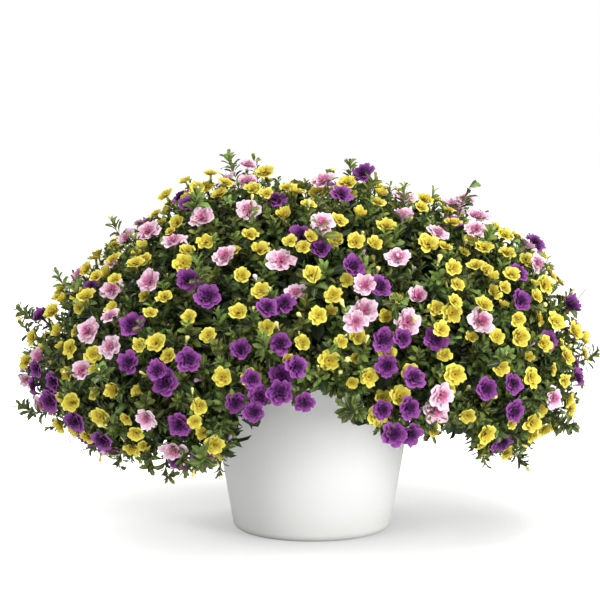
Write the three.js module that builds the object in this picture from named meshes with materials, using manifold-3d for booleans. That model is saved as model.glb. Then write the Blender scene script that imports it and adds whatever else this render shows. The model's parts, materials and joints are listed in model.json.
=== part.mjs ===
// Calibrachoa in a plain tapered tub: a wide mound of leafy shoots that hangs over the rim as a skirt,
// covered with small double blooms in yellow, purple and pink.
// Millimetres, +Z up, -Y is the front. The origin is the middle of the tub's flat base.

import * as THREE from 'three';
import { mergeVertices } from 'three/addons/utils/BufferGeometryUtils.js';
import Module from 'manifold-3d';

const wasm = await Module();
wasm.setup();

// ---- Driving dimensions -------------------------------------------------------------------------

const TUB = {
  height: 240, footRadius: 102.5, rimRadius: 144, footRound: 12, footInset: 2, wall: 4, floor: 5, sides: 32,
};
const SOIL = { belowRim: 22, crown: 6, gap: 0.3, slack: 0.2, holeDepth: 16, holeSlack: 0.5 };
const JOIN_GAP = 0.3;
const FINEST = 0.05;
const SLOPE_STEP = 0.02;

// The plant's outer face is a rounded mound about its heart, a point on the tub's axis.
const HEART_HEIGHT = 215;
const MOUND = {
  halfWidth: 370, leftward: 14, halfDepth: 306, rise: 236, drop: 146, fullness: 2.0, fullnessTurn: 0.23,
  lowFullness: 2.18,
};
const LUMP = {
  crest: 12, crestPolar: 14, crestSpread: 8, shoulder: 25, shoulderPolar: 29, shoulderSpread: 20, wave: 8, waves: 4,
  waveTurn: 0.6,
};
// The skirt parts at the front. It is full again a little way to the left, and only far round to the right.
const LIP = { polar: 112, notch: 19, left: [15, 27], right: [11, 17], farRight: [34, 62], farShare: 0.54 };

// Blooms stand on the outer face in a golden-angle spiral, and each hangs on a stalk from its truss's knot.
const BLOOM_PLACES = 410;
const BLOOM = {
  jitter: 15, sink: 7, lean: 0.5, lift: 0.22, clear: 1.2, headDepth: 3.6, notchDepth: 0.17, lipMargin: 0.03,
};
const STALK = {
  radius: 1.35, clear: 3.1, ownClear: 2.4, headClear: 2.0, skinClear: 2.4, knotClear: 8, knotReach: 9,
  steepest: 68, lowest: 100, swing: 26, tries: 160, trusses: 7, headRange: 25, testStep: 3,
};
// A bent stalk's bend: its share of the way to the knot and its depth below the bloom, each with its span.
const BEND = { share: 0.05, shareSpan: 0.5, depth: 5, depthSpan: 20 };
const KNOT = {
  lift: 5, slotWidth: 2.5, smallest: 3.2, shoulder: 0.6, shoulderRise: 1.9, top: 2.8, widestSlot: 80,
  apart: 16, tries: 30, swing: 5, longestFoot: 30, groupRounds: 8, slotRounds: 200,
};
const KINDS = {
  yellow: { radius: 13.0, spread: 1.9, points: 6, trusses: 25, ruffle: 2.0, middle: 2.4, colour: 0xe0cf4a },
  purple: { radius: 16.6, spread: 1.8, points: 10, trusses: 10, ruffle: 2.2, middle: 3.4, colour: 0x70407a },
  pink: { radius: 16.2, spread: 1.8, points: 10, trusses: 9, ruffle: 2.2, middle: 3.4, colour: 0xeab0cd },
};

// The green sprays: crown sprays on top, skirt sprays all round them, with tufts of leaves on each.
const SPRAY = {
  crownCount: 4, skirtCount: 10, crownTop: 4, crownEdge: 48, skirtEdge: 51, skinDepth: 46, edgeSink: 6,
  backDepth: 94, lipBack: 8, lipDepth: 14, sideGap: 1.2, crownStemCircle: 30, skirtStemCircle: 82,
};
const STEM = {
  radius: 4.2, clear: 3, upright: 17, bendShare: 0.4, skirtLift: 16, crownPolar: 24, skirtPolar: 60,
  into: 80,
};
const SKIN_PARTS = [0, 0.33, 0.67, 1];
const BACK_PARTS = { crown: [0.9, 0.4], skirt: [0.7, 0.36, 0.05] };
const TUFT = {
  places: 116, leafLength: 22, leafHalf: 4.2, widestAt: 0.46, lift: 0.18, collar: 1.5, rootDepth: 38,
  top: 7, crown: 1.0, standing: 40, standOut: 30, clear: 0.35, swing: 7, leastRoot: 1, lean: 0.7, tries: 12,
  topSpread: 6, collarDepth: 1.4, wallClear: 7,
};

// The shares of the kinds: purple thickens low in front and in patches, yellow on the right.
const SHARES = {
  purple: 0.13, purpleLow: 0.25, purplePatch: 0.14, pink: 0.22, pinkLow: -0.04, yellow: 0.50, yellowRight: 0.16,
  yellowPatch: 0.12, lowFrom: 55, lowTo: 95, patchRound: 3, patchDown: 5, patchTurn: 0.4,
};

// Which repeatable draw each choice uses.
const DRAW = {
  polar: 0, azimuth: 1, size: 2, leanOne: 3, leanTwo: 4, kind: 5, sink: 6, turn: 7,
  bendDepth: 11, bendShare: 12, bendOne: 13, bendTwo: 14,
  tuftPolar: 31, tuftAzimuth: 32, tuftLeanOne: 33, tuftLeanTwo: 34, tuftTop: 35, tuftCount: 36, tuftTurn: 37,
  leafLength: 38, knotAzimuth: 41, knotPolar: 42,
};

const materials = {
  tub: new THREE.MeshStandardMaterial({ color: 0xf1f1ef, roughness: 0.55, metalness: 0 }),
  soil: new THREE.MeshStandardMaterial({ color: 0x3a2b20, roughness: 0.95, metalness: 0 }),
  leaf: new THREE.MeshStandardMaterial({ color: 0x4a5f2a, roughness: 0.6, metalness: 0 }),
  yellow: new THREE.MeshStandardMaterial({ color: KINDS.yellow.colour, roughness: 0.65, metalness: 0 }),
  purple: new THREE.MeshStandardMaterial({ color: KINDS.purple.colour, roughness: 0.65, metalness: 0 }),
  pink: new THREE.MeshStandardMaterial({ color: KINDS.pink.colour, roughness: 0.65, metalness: 0 }),
};

// ---- Small helpers --------------------------------------------------------------------------------

const TURN = Math.PI * 2;
const MEAN_AZIMUTH = Math.PI / 4;
const GOLDEN_ANGLE = Math.PI * (3 - Math.sqrt(5));
const UP = new THREE.Vector3(0, 0, 1);
const radians = THREE.MathUtils.degToRad;

/** A repeatable draw between 0 and 1 for one numbered thing and one use. */
function draw(index, use) {
  let bits = Math.imul(index + 1, 0x9e3779b1) ^ Math.imul(use + 1, 0x85ebca6b);
  bits ^= bits >>> 15;
  bits = Math.imul(bits, 0x2c1b3c6d);
  bits ^= bits >>> 12;
  bits = Math.imul(bits, 0x297a2d39);
  bits ^= bits >>> 15;
  return (bits >>> 0) / 4294967296;
}

/** A closed body from its corners' coordinates and its triangles, ready for cutting and joining. */
function bodyOf(coordinates, triangles) {
  const vertProperties = new Float32Array(coordinates);
  const triVerts = new Uint32Array(triangles);
  return new wasm.Manifold(new wasm.Mesh({ numProp: 3, vertProperties, triVerts }));
}

/** A closed body from a list of points and triangles. */
function solidOf(points, triangles) {
  return bodyOf(points.flatMap((point) => point.toArray()), triangles);
}

/** A closed three.js geometry as a solid. */
function solidFrom(geometry) {
  geometry.deleteAttribute('normal');
  geometry.deleteAttribute('uv');
  const merged = mergeVertices(geometry, 1e-4);
  return bodyOf(merged.attributes.position.array, merged.index.array);
}

/** A named mesh of one solid. */
function meshFrom(name, solid, material) {
  const { numProp, vertProperties, triVerts } = solid.getMesh();
  const geometry = new THREE.BufferGeometry();
  const places = new Float32Array((vertProperties.length / numProp) * 3);
  for (let i = 0; i < places.length / 3; i += 1) {
    places.set(vertProperties.subarray(i * numProp, i * numProp + 3), i * 3);
  }
  geometry.setAttribute('position', new THREE.BufferAttribute(places, 3));
  geometry.setIndex(new THREE.BufferAttribute(new Uint32Array(triVerts), 1));
  geometry.computeVertexNormals();
  const mesh = new THREE.Mesh(geometry, material);
  mesh.name = name;
  return mesh;
}

/** Two directions that make a right-handed frame with the given one. */
function crossFrame(along) {
  const side = Math.abs(along.z) < 0.9 ? UP : new THREE.Vector3(1, 0, 0);
  const first = new THREE.Vector3().crossVectors(side, along).normalize();
  return [first, new THREE.Vector3().crossVectors(along, first)];
}

/** A ring of points round a centre, counter-clockwise as seen from the tip of its axis. */
function ringAt(centre, along, radius, count, phase = 0) {
  const [first, second] = crossFrame(along);
  return Array.from({ length: count }, (_, i) => {
    const turn = phase + (TURN * i) / count;
    return centre.clone()
      .addScaledVector(first, radius * Math.cos(turn))
      .addScaledVector(second, radius * Math.sin(turn));
  });
}

/** A section whose corners face those of the section before it. */
function sectionAfter(before, centre, along, radius) {
  const [first, second] = crossFrame(along);
  const lead = before[0].clone().sub(middleOf(before));
  return ringAt(centre, along, radius, before.length, Math.atan2(lead.dot(second), lead.dot(first)));
}

/** The middle of a few points. */
function middleOf(points) {
  const sum = new THREE.Vector3();
  points.forEach((point) => sum.addScaledVector(point, 1 / points.length));
  return sum;
}

/** The faces of one straight stretch between two sections, given by their first points. */
function stretchFaces(low, high, sides) {
  return Array.from({ length: sides }, (_, i) => i).flatMap((i) => {
    const next = (i + 1) % sides;
    return [low + i, low + next, high + next, low + i, high + next, high + i];
  });
}

/** A closed straight-sided stalk through the given stops. */
function stalkThrough(stops, radius, sides) {
  const along = (k) => {
    const ahead = stops[Math.min(k + 1, stops.length - 1)];
    return ahead.clone().sub(stops[Math.max(k - 1, 0)]).normalize();
  };
  const sections = [ringAt(stops[0], along(0), radius, sides)];
  stops.slice(1).forEach((stop, k) => sections.push(sectionAfter(sections[k], stop, along(k + 1), radius)));
  const triangles = sections.slice(1).flatMap((_, k) => stretchFaces(k * sides, (k + 1) * sides, sides));
  const top = (stops.length - 1) * sides;
  for (let i = 1; i < sides - 1; i += 1) {
    triangles.push(0, i + 1, i, top, top + i, top + i + 1);
  }
  return solidOf(sections.flat(), triangles);
}

/** The faces of a head: a fan from its top to its ring, and a strip from the ring to its neck. */
function headFaces(points, ringStart, ringCount, top, neckStart, facing) {
  const [first, second] = crossFrame(facing);
  const middle = middleOf(points.slice(neckStart, neckStart + 3));
  const turnOf = (point) => {
    const away = point.clone().sub(middle);
    return Math.atan2(away.dot(second), away.dot(first));
  };
  const neckTurns = [0, 1, 2].map((k) => turnOf(points[neckStart + k]));
  const ownNeck = Array.from({ length: ringCount }, (_, i) => {
    const turn = turnOf(points[ringStart + i]);
    const nearness = neckTurns.map((neckTurn) => Math.cos(turn - neckTurn));
    return neckStart + nearness.indexOf(Math.max(...nearness));
  });
  return ownNeck.flatMap((neck, i) => {
    const next = (i + 1) % ringCount;
    const faces = [top, ringStart + i, ringStart + next, ringStart + next, ringStart + i, neck];
    return neck === ownNeck[next] ? faces : [...faces, ringStart + next, neck, ownNeck[next]];
  });
}

// ---- The mound ------------------------------------------------------------------------------------

/** How far the outer face lies from the heart, at an angle down from the top and one round the axis. */
function reach(polar, azimuth) {
  const right = Math.cos(azimuth);
  const halfWidth = MOUND.halfWidth - MOUND.leftward * right;
  const across = 1 / Math.hypot(right / halfWidth, Math.sin(azimuth) / MOUND.halfDepth);
  const upper = polar < Math.PI / 2;
  const power = upper ? MOUND.fullness + MOUND.fullnessTurn * right : MOUND.lowFullness;
  const height = upper ? MOUND.rise : MOUND.drop;
  const flatShare = (Math.abs(Math.sin(polar)) / across) ** power;
  const riseShare = (Math.abs(Math.cos(polar)) / height) ** power;
  const face = (flatShare + riseShare) ** (-1 / power);
  const near = (middle, spread) => Math.exp(-(((THREE.MathUtils.radToDeg(polar) - middle) / spread) ** 2));
  const crest = LUMP.crest * Math.cos(2 * azimuth) * near(LUMP.crestPolar, LUMP.crestSpread);
  const shoulder = (LUMP.shoulder * (1 - right) * near(LUMP.shoulderPolar, LUMP.shoulderSpread)) / 2;
  const swell = LUMP.wave * Math.sin(polar) ** 2 * Math.sin(3 * polar);
  const wave = swell * Math.sin(LUMP.waves * azimuth + LUMP.waveTurn);
  return face + crest + shoulder + wave;
}

/** The point of the plant that lies a depth inside the outer face. */
function pointAt(polar, azimuth, depth = 0) {
  const away = reach(polar, azimuth) - depth;
  const flat = away * Math.sin(polar);
  return new THREE.Vector3(
    flat * Math.cos(azimuth),
    flat * Math.sin(azimuth),
    HEART_HEIGHT + away * Math.cos(polar),
  );
}

/** The outer face's own direction. */
function outwardAt(polar, azimuth) {
  const step = SLOPE_STEP;
  const down = pointAt(polar + step, azimuth).sub(pointAt(polar - step, azimuth));
  const round = pointAt(polar, azimuth + step).sub(pointAt(polar, azimuth - step));
  return down.cross(round).normalize();
}

/** The angle at which the skirt ends, less in the parting at the front. */
function lipPolar(azimuth) {
  const turn = THREE.MathUtils.radToDeg(Math.atan2(Math.cos(azimuth), -Math.sin(azimuth)));
  const near = (1 - LIP.farShare) * THREE.MathUtils.smoothstep(turn, ...LIP.right);
  const far = LIP.farShare * THREE.MathUtils.smoothstep(turn, ...LIP.farRight);
  const full = turn < 0 ? THREE.MathUtils.smoothstep(-turn, ...LIP.left) : near + far;
  return radians(LIP.polar - LIP.notch * (1 - full));
}

/** The angles down from the top that part the mound's face into equal shares. */
function evenPolars(count) {
  const steps = 120;
  const limit = radians(LIP.polar);
  const half = SLOPE_STEP / 2;
  const sums = [0];
  for (let i = 1; i <= steps; i += 1) {
    const polar = (limit * (i - 0.5)) / steps;
    const away = reach(polar, MEAN_AZIMUTH);
    const slope = (reach(polar + half, MEAN_AZIMUTH) - reach(polar - half, MEAN_AZIMUTH)) / SLOPE_STEP;
    sums.push(sums[i - 1] + away * Math.sin(polar) * Math.hypot(away, slope));
  }
  let cell = 1;
  return Array.from({ length: count }, (_, i) => {
    const share = ((i + 0.5) / count) * sums[steps];
    while (sums[cell] < share) {
      cell += 1;
    }
    const part = (share - sums[cell - 1]) / (sums[cell] - sums[cell - 1]);
    return (limit * (cell - 1 + part)) / steps;
  });
}

// ---- Blooms ---------------------------------------------------------------------------------------

/** The kind of bloom that grows at a place: purple thickens low in front, yellow on the right. */
function kindAt(index, polar, azimuth) {
  const low = THREE.MathUtils.smoothstep(polar, radians(SHARES.lowFrom), radians(SHARES.lowTo));
  const front = Math.max(0, -Math.sin(azimuth));
  const right = Math.max(0, Math.cos(azimuth));
  const turn = SHARES.patchRound * azimuth + SHARES.patchDown * polar + SHARES.patchTurn;
  const patch = 0.5 + 0.5 * Math.sin(turn);
  const purple = SHARES.purple + SHARES.purpleLow * low * front + SHARES.purplePatch * patch;
  const pink = SHARES.pink + SHARES.pinkLow * low;
  const yellow = SHARES.yellow + SHARES.yellowRight * right + SHARES.yellowPatch * (1 - patch);
  const pick = draw(index, DRAW.kind) * (purple + pink + yellow);
  if (pick < purple) {
    return 'purple';
  }
  return pick < purple + pink ? 'pink' : 'yellow';
}

/** A draw that leans either way, from minus a half to a half. */
function lean(index, use) {
  return draw(index, use) - 0.5;
}

/** One bloom's place, facing, size and kind, or null past the skirt's lip. */
function bloomAt(index, even) {
  const away = reach(even, MEAN_AZIMUTH);
  const polar = even + (lean(index, DRAW.polar) * BLOOM.jitter) / away;
  const flat = away * Math.sin(even);
  const azimuth = index * GOLDEN_ANGLE + (lean(index, DRAW.azimuth) * BLOOM.jitter) / flat;
  if (polar > lipPolar(azimuth) - BLOOM.lipMargin) {
    return null;
  }
  const kind = kindAt(index, polar, azimuth);
  const radius = KINDS[kind].radius + lean(index, DRAW.size) * 2 * KINDS[kind].spread;
  const outward = outwardAt(polar, azimuth);
  const [first, second] = crossFrame(outward);
  const facing = outward.clone()
    .addScaledVector(UP, BLOOM.lift)
    .addScaledVector(first, lean(index, DRAW.leanOne) * BLOOM.lean)
    .addScaledVector(second, lean(index, DRAW.leanTwo) * BLOOM.lean)
    .normalize();
  const centre = pointAt(polar, azimuth).addScaledVector(outward, -BLOOM.sink * draw(index, DRAW.sink));
  return { index, kind, centre, facing, radius };
}

/** Every bloom, leaving out any that would crowd an earlier one. */
function placeBlooms() {
  const blooms = [];
  evenPolars(BLOOM_PLACES).forEach((even, index) => {
    const bloom = bloomAt(index, even);
    const least = (other) => other.radius + bloom.radius + BLOOM.clear;
    if (bloom && !blooms.some((other) => other.centre.distanceTo(bloom.centre) < least(other))) {
      blooms.push(bloom);
    }
  });
  return blooms;
}

/** The ring of petal tips and notches round one bloom's face. */
function petalRing(bloom) {
  const { points: count, ruffle } = KINDS[bloom.kind];
  const ring = ringAt(bloom.centre, bloom.facing, bloom.radius, count, draw(bloom.index, DRAW.turn) * TURN);
  ring.forEach((point, i) => {
    const notch = i % 2 === 1;
    point.lerp(bloom.centre, notch ? BLOOM.notchDepth : 0);
    point.addScaledVector(bloom.facing, notch ? -ruffle / 2 : ruffle / 2);
  });
  return ring;
}

/** The shortest way between two straight stretches. */
function stretchGap(one, other) {
  return Math.sqrt(one.distanceSqToLine3(other, new THREE.Vector3(), new THREE.Vector3()));
}

/** Whether a straight stretch of stalk keeps clear of the heads of blooms. */
function clearOfHeads(line, blooms) {
  const near = new THREE.Vector3();
  const steps = Math.max(2, Math.ceil(line.distance() / STALK.testStep));
  return blooms.every((bloom) => {
    line.closestPointToPoint(bloom.centre, true, near);
    if (near.distanceTo(bloom.centre) > bloom.radius + BLOOM.headDepth + STALK.headClear * 2) {
      return true;
    }
    return Array.from({ length: steps + 1 }, (_, k) => k / steps).every((part) => {
      line.at(part, near).sub(bloom.centre);
      const depth = -near.dot(bloom.facing);
      const beside = Math.sqrt(Math.max(0, near.lengthSq() - depth * depth));
      const width = bloom.radius * Math.min(1, 1 - (depth - BLOOM.clear) / BLOOM.headDepth);
      const level = depth > -KNOT.lift && depth < BLOOM.headDepth + STALK.headClear;
      return !level || beside > Math.max(width, STALK.radius) + STALK.headClear;
    });
  });
}

/** Whether a straight stretch of stalk stays above the skin of the green sprays. */
function clearOfSkin(line) {
  const point = new THREE.Vector3();
  return [0, 0.2, 0.4, 0.6, 0.8, 1].every((part) => {
    line.at(part, point);
    const flat = Math.hypot(point.x, point.y);
    const polar = Math.atan2(flat, point.z - HEART_HEIGHT);
    const away = Math.hypot(flat, point.z - HEART_HEIGHT);
    return away > reach(polar, Math.atan2(point.y, point.x)) - SPRAY.skinDepth + STALK.skinClear;
  });
}

/** Whether a whole stalk, a little fattened, keeps out of the sprays' bodies. */
function clearOfBodies(stops, sprays) {
  const guard = stalkThrough(stops, STALK.radius + JOIN_GAP, 3);
  const box = guard.boundingBox();
  return sprays.every((spray) => !boxesMeet(box, spray.box) || guard.intersect(spray.core).volume() === 0);
}

/** The places' numbers, the nearest to a point first. */
function nearestFirst(places, point) {
  const away = places.map((place) => place.distanceTo(point));
  return away.map((_, i) => i).sort((a, b) => away[a] - away[b]);
}

/** The middles of a number of groups of blooms that lie close together. */
function groupMiddles(blooms, count) {
  const middles = evenPolars(count).map((polar, i) => pointAt(polar, i * GOLDEN_ANGLE + 0.8));
  for (let round = 0; round < KNOT.groupRounds; round += 1) {
    const groups = middles.map(() => []);
    blooms.forEach((bloom) => groups[nearestFirst(middles, bloom.centre)[0]].push(bloom.centre));
    groups.forEach((group, i) => {
      if (group.length > 0) {
        middles[i].set(0, 0, 0);
        group.forEach((centre) => middles[i].addScaledVector(centre, 1 / group.length));
      }
    });
  }
  return middles;
}

/** A truss's knot above the skin of a green spray, with its foot on it, or null where none lies below. */
function knotUnder(middle, sprays, bodies, attempt, seed) {
  const from = middle.clone().setZ(middle.z - HEART_HEIGHT);
  const flat = Math.max(SPRAY.skinDepth, Math.hypot(from.x, from.y));
  const shift = attempt * KNOT.swing;
  const azimuth = Math.atan2(from.y, from.x) + (lean(seed, DRAW.knotAzimuth) * shift) / flat;
  const level = Math.acos(from.z / from.length()) + (lean(seed, DRAW.knotPolar) * shift) / MOUND.rise;
  const polar = Math.min(Math.max(SLOPE_STEP * 2, level), lipPolar(azimuth) - radians(SPRAY.lipBack * 2));
  const outward = outwardAt(polar, azimuth);
  const place = pointAt(polar, azimuth, SPRAY.skinDepth - KNOT.lift);
  const down = new THREE.Raycaster(place, outward.clone().negate(), 0, KNOT.longestFoot);
  const hit = down.intersectObjects(bodies)[0];
  const above = place.clone().addScaledVector(outward, KNOT.top);
  const collar = stalkThrough([place, above], KNOT.smallest * 2, 5);
  if (!hit || sprays.some((spray) => collar.intersect(spray.core).volume() > 0)) {
    return null;
  }
  return { place, outward, foot: hit.point.addScaledVector(outward, JOIN_GAP) };
}

/** Trusses of every colour, with no stalks yet: each has its knot under the middle of a group of blooms. */
function placeKnots(blooms, sprays) {
  const bodies = sprays.map((spray) => meshFrom('body', spray.core, materials.leaf));
  const trusses = [];
  Object.entries(KINDS).forEach(([kind, { trusses: count }]) => {
    const own = blooms.filter((bloom) => bloom.kind === kind);
    groupMiddles(own, count).forEach((middle, i) => {
      const seed = trusses.length * KNOT.tries;
      const tries = Array.from({ length: KNOT.tries }, (_, attempt) => attempt);
      const knotOf = (attempt) => knotUnder(middle, sprays, bodies, attempt, seed + attempt);
      const apart = (knot) => trusses.every((truss) => truss.knot.place.distanceTo(knot.place) > KNOT.apart);
      const knot = tries.map(knotOf).find((found) => found && apart(found));
      trusses.push({ kind, number: i + 1, knot, lines: [], legs: [] });
    });
  });
  return trusses;
}

/** Trusses of every colour, with the stalk of each bloom led clear of everything else. */
function planTrusses(blooms, sprays) {
  const trusses = placeKnots(blooms, sprays);
  const nearTrusses = (bloom) => {
    const own = trusses.filter((truss) => truss.kind === bloom.kind);
    return nearestFirst(own.map((truss) => truss.knot.place), bloom.centre).map((i) => own[i]);
  };
  const span = (bloom) => nearTrusses(bloom)[0].knot.place.distanceTo(bloom.centre);
  [...blooms].sort((one, other) => span(one) - span(other)).forEach((bloom) => {
    const near = nearTrusses(bloom).slice(0, STALK.trusses);
    near.some((truss) => leadStalk(bloom, truss, trusses, blooms, sprays));
  });
  return trusses;
}

/** The stops of one try at a bloom's stalk: its neck, on all but the first try a bend, and the knot. */
function stalkStops(bloom, neck, knot, attempt) {
  if (attempt === 0) {
    return [neck, knot];
  }
  const seed = bloom.index * STALK.tries + attempt;
  const [first, second] = crossFrame(bloom.facing);
  const bend = neck.clone().lerp(knot, BEND.share + BEND.shareSpan * draw(seed, DRAW.bendShare));
  const depth = BEND.depth + BEND.depthSpan * draw(seed, DRAW.bendDepth);
  bend.addScaledVector(bloom.facing, neck.clone().sub(bend).dot(bloom.facing) - depth);
  bend.addScaledVector(first, lean(seed, DRAW.bendOne) * STALK.swing);
  bend.addScaledVector(second, lean(seed, DRAW.bendTwo) * STALK.swing);
  return [neck, bend, knot];
}

/** A test of whether a stretch of a bloom's stalk keeps clear of other stalks, knots, heads and skin. */
function stretchTest(bloom, neck, truss, trusses, blooms) {
  const knot = truss.knot.place;
  const limit = neck.distanceTo(knot) + STALK.headRange;
  const heads = blooms.filter((other) => other !== bloom && other.centre.distanceTo(neck) < limit);
  const strange = trusses.filter((other) => other !== truss);
  const lines = strange.flatMap((other) => other.lines);
  const knots = strange.map((other) => other.knot.place);
  const near = new THREE.Vector3();
  const gapTo = (line, place) => line.closestPointToPoint(place, true, near).distanceTo(place);
  return (line) => {
    const ends = line.end.equals(knot);
    const part = ends ? Math.max(0, 1 - STALK.knotReach / line.distance()) : 1;
    const trimmed = new THREE.Line3(line.start, line.at(part, new THREE.Vector3()));
    return lines.every((other) => stretchGap(line, other) > STALK.clear)
      && truss.lines.every((other) => stretchGap(trimmed, other) > STALK.ownClear)
      && knots.every((place) => gapTo(line, place) > STALK.knotClear)
      && clearOfHeads(line, heads)
      && clearOfSkin(line);
  };
}

/** Leads a bloom's stalk to a truss's knot, straight where that is clear, else with one bend. */
function leadStalk(bloom, truss, trusses, blooms, sprays) {
  const knot = truss.knot.place;
  const neck = bloom.centre.clone().addScaledVector(bloom.facing, -BLOOM.headDepth);
  const passes = stretchTest(bloom, neck, truss, trusses, blooms);
  for (let attempt = 0; attempt < STALK.tries; attempt += 1) {
    const stops = stalkStops(bloom, neck, knot, attempt);
    const leave = neck.clone().sub(stops[1]).angleTo(bloom.facing);
    const arrive = stops.at(-2).clone().sub(knot).angleTo(truss.knot.outward);
    const stretches = stops.slice(1).map((stop, k) => new THREE.Line3(stops[k], stop));
    const fits = leave < radians(STALK.steepest)
      && arrive < radians(STALK.lowest)
      && stretches.every(passes)
      && clearOfBodies(stops, sprays);
    if (fits) {
      truss.lines.push(...stretches);
      truss.legs.push({ bloom, stops: stops.slice(0, -1).reverse() });
      return true;
    }
  }
  return false;
}

/** Turns the slots apart where they lie closer round the knot than the least gap. */
function turnApart(slots, gapAfter, least) {
  for (let round = 0; round < KNOT.slotRounds; round += 1) {
    slots.forEach((slot, i) => {
      const short = least - gapAfter(i);
      if (short > 0 && slots.length > 1) {
        slot.turn -= short / 2;
        slots[(i + 1) % slots.length].turn += short / 2;
      }
    });
  }
}

/** The slots round a knot: one for each leg, turned apart where they crowd, and blank ones in wide gaps. */
function slotsRound(knot, legs) {
  const [first, second] = crossFrame(knot.outward);
  const slots = legs.map((leg) => {
    const away = leg.stops[0].clone().sub(knot.place);
    return { leg, turn: Math.atan2(away.dot(second), away.dot(first)) };
  }).sort((one, other) => one.turn - other.turn);
  const gapAfter = (i) => {
    const next = slots[(i + 1) % slots.length];
    return next.turn - slots[i].turn + (i + 1 < slots.length ? 0 : TURN);
  };
  turnApart(slots, gapAfter, TURN / (slots.length + 3));
  for (let i = 0; i < slots.length; i += 1) {
    const gap = gapAfter(i);
    const blanks = Math.ceil(gap / radians(KNOT.widestSlot)) - 1;
    const turn = slots[i].turn;
    for (let k = 1; k <= blanks; k += 1) {
      slots.splice(i + k, 0, { leg: null, turn: turn + (gap * k) / (blanks + 1) });
    }
    i += blanks;
  }
  return slots;
}

/** One truss as a single body: its knot and foot, with the stalks and heads of its blooms. */
function trussSolid(truss) {
  const { place, outward, foot } = truss.knot;
  const [first, second] = crossFrame(outward);
  const slots = slotsRound(truss.knot, truss.legs);
  const wide = Math.max(KNOT.smallest, (slots.length * KNOT.slotWidth) / TURN);
  const at = (turn, radius, rise) => place.clone()
    .addScaledVector(first, radius * Math.cos(turn))
    .addScaledVector(second, radius * Math.sin(turn))
    .addScaledVector(outward, rise);
  const edges = slots.map((slot, i) => {
    const before = slots.at(i - 1).turn - (i === 0 ? TURN : 0);
    return at((before + slot.turn) / 2, wide, 0);
  });
  const shoulders = slots.map((slot) => at(slot.turn, wide * KNOT.shoulder, KNOT.shoulderRise));
  const count = slots.length;
  const points = [...edges, ...shoulders, place.clone().addScaledVector(outward, KNOT.top), foot];
  const triangles = [];
  slots.forEach((slot, i) => {
    const next = (i + 1) % count;
    triangles.push(2 * count, i, count + i, 2 * count, count + i, next, 2 * count + 1, next, i);
    if (slot.leg) {
      addLeg(points, triangles, [i, next, count + i], slot.leg);
    } else {
      triangles.push(i, next, count + i);
    }
  });
  return solidOf(points, triangles);
}

/** Adds one leg of a truss to its points and faces: from its slot along its stops to the bloom's head. */
function addLeg(points, triangles, slot, leg) {
  const { bloom, stops } = leg;
  let low = points.length;
  points.push(...slot.map((i) => points[i]));
  const start = low;
  let section = slot.map((i) => points[i]);
  stops.forEach((stop, k) => {
    const from = k === 0 ? middleOf(section) : stops[k - 1];
    const ahead = k + 1 < stops.length ? stops[k + 1].clone().sub(stop).normalize() : bloom.facing;
    const along = stop.clone().sub(from).normalize().add(ahead).normalize();
    section = sectionAfter(section, stop, along, STALK.radius);
    const high = points.length;
    points.push(...section);
    triangles.push(...stretchFaces(low, high, 3));
    low = high;
  });
  triangles.forEach((corner, i) => {
    triangles[i] = corner >= start && corner < start + 3 ? slot[corner - start] : corner;
  });
  const ringStart = points.length;
  const ring = petalRing(bloom);
  points.push(...ring, bloom.centre.clone().addScaledVector(bloom.facing, KINDS[bloom.kind].middle));
  triangles.push(...headFaces(points, ringStart, ring.length, points.length - 1, low, bloom.facing));
}

// ---- Tub and soil ---------------------------------------------------------------------------------

/** The tub's outer radius at a height. */
function tubRadius(height) {
  return TUB.footRadius + ((TUB.rimRadius - TUB.footRadius) * height) / TUB.height;
}

/** The tub: a plain tapered wall with a rounded foot, open at the top. */
function tubSolid() {
  const round = TUB.footRound;
  const outline = [new THREE.Vector2(0, 0)];
  [0, Math.PI / 4, Math.PI / 2].forEach((turn) => {
    const flat = tubRadius(round) - round * (1 - Math.sin(turn));
    outline.push(new THREE.Vector2(flat, round * (1 - Math.cos(turn))));
  });
  outline.push(new THREE.Vector2(tubRadius(TUB.height), TUB.height));
  outline.push(new THREE.Vector2(tubRadius(TUB.height) - TUB.wall, TUB.height));
  outline.push(new THREE.Vector2(tubRadius(TUB.floor) - TUB.wall - TUB.footInset, TUB.floor));
  outline.push(new THREE.Vector2(0, TUB.floor));
  return solidFrom(new THREE.LatheGeometry(outline, TUB.sides).rotateX(Math.PI / 2));
}

/** The soil's top at a distance from the axis. */
function soilTop(flat) {
  const edge = tubRadius(TUB.height - SOIL.belowRim);
  return TUB.height - SOIL.belowRim + SOIL.crown * (1 - (flat / edge) ** 2);
}

/** The soil, with a plain hole for each stem. */
function soilSolid(stems) {
  const base = TUB.floor + SOIL.gap;
  const top = TUB.height - SOIL.belowRim;
  const inset = TUB.wall + SOIL.gap;
  const outline = [
    new THREE.Vector2(0, base),
    new THREE.Vector2(tubRadius(base) - inset - TUB.footInset - SOIL.slack, base),
    new THREE.Vector2(tubRadius(top) - inset - SOIL.slack, top),
    new THREE.Vector2(0, soilTop(0)),
  ];
  let solid = solidFrom(new THREE.LatheGeometry(outline, TUB.sides).rotateX(Math.PI / 2));
  stems.forEach((stem) => {
    const low = stem.foot.clone().setZ(stem.foot.z - SOIL.gap);
    const high = stem.foot.clone().setZ(stem.foot.z + SOIL.holeDepth + SOIL.belowRim);
    const hole = stalkThrough([low, high], STEM.radius + SOIL.holeSlack, 4);
    solid = solid.subtract(hole);
  });
  return solid;
}

// ---- Green sprays ---------------------------------------------------------------------------------

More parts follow.
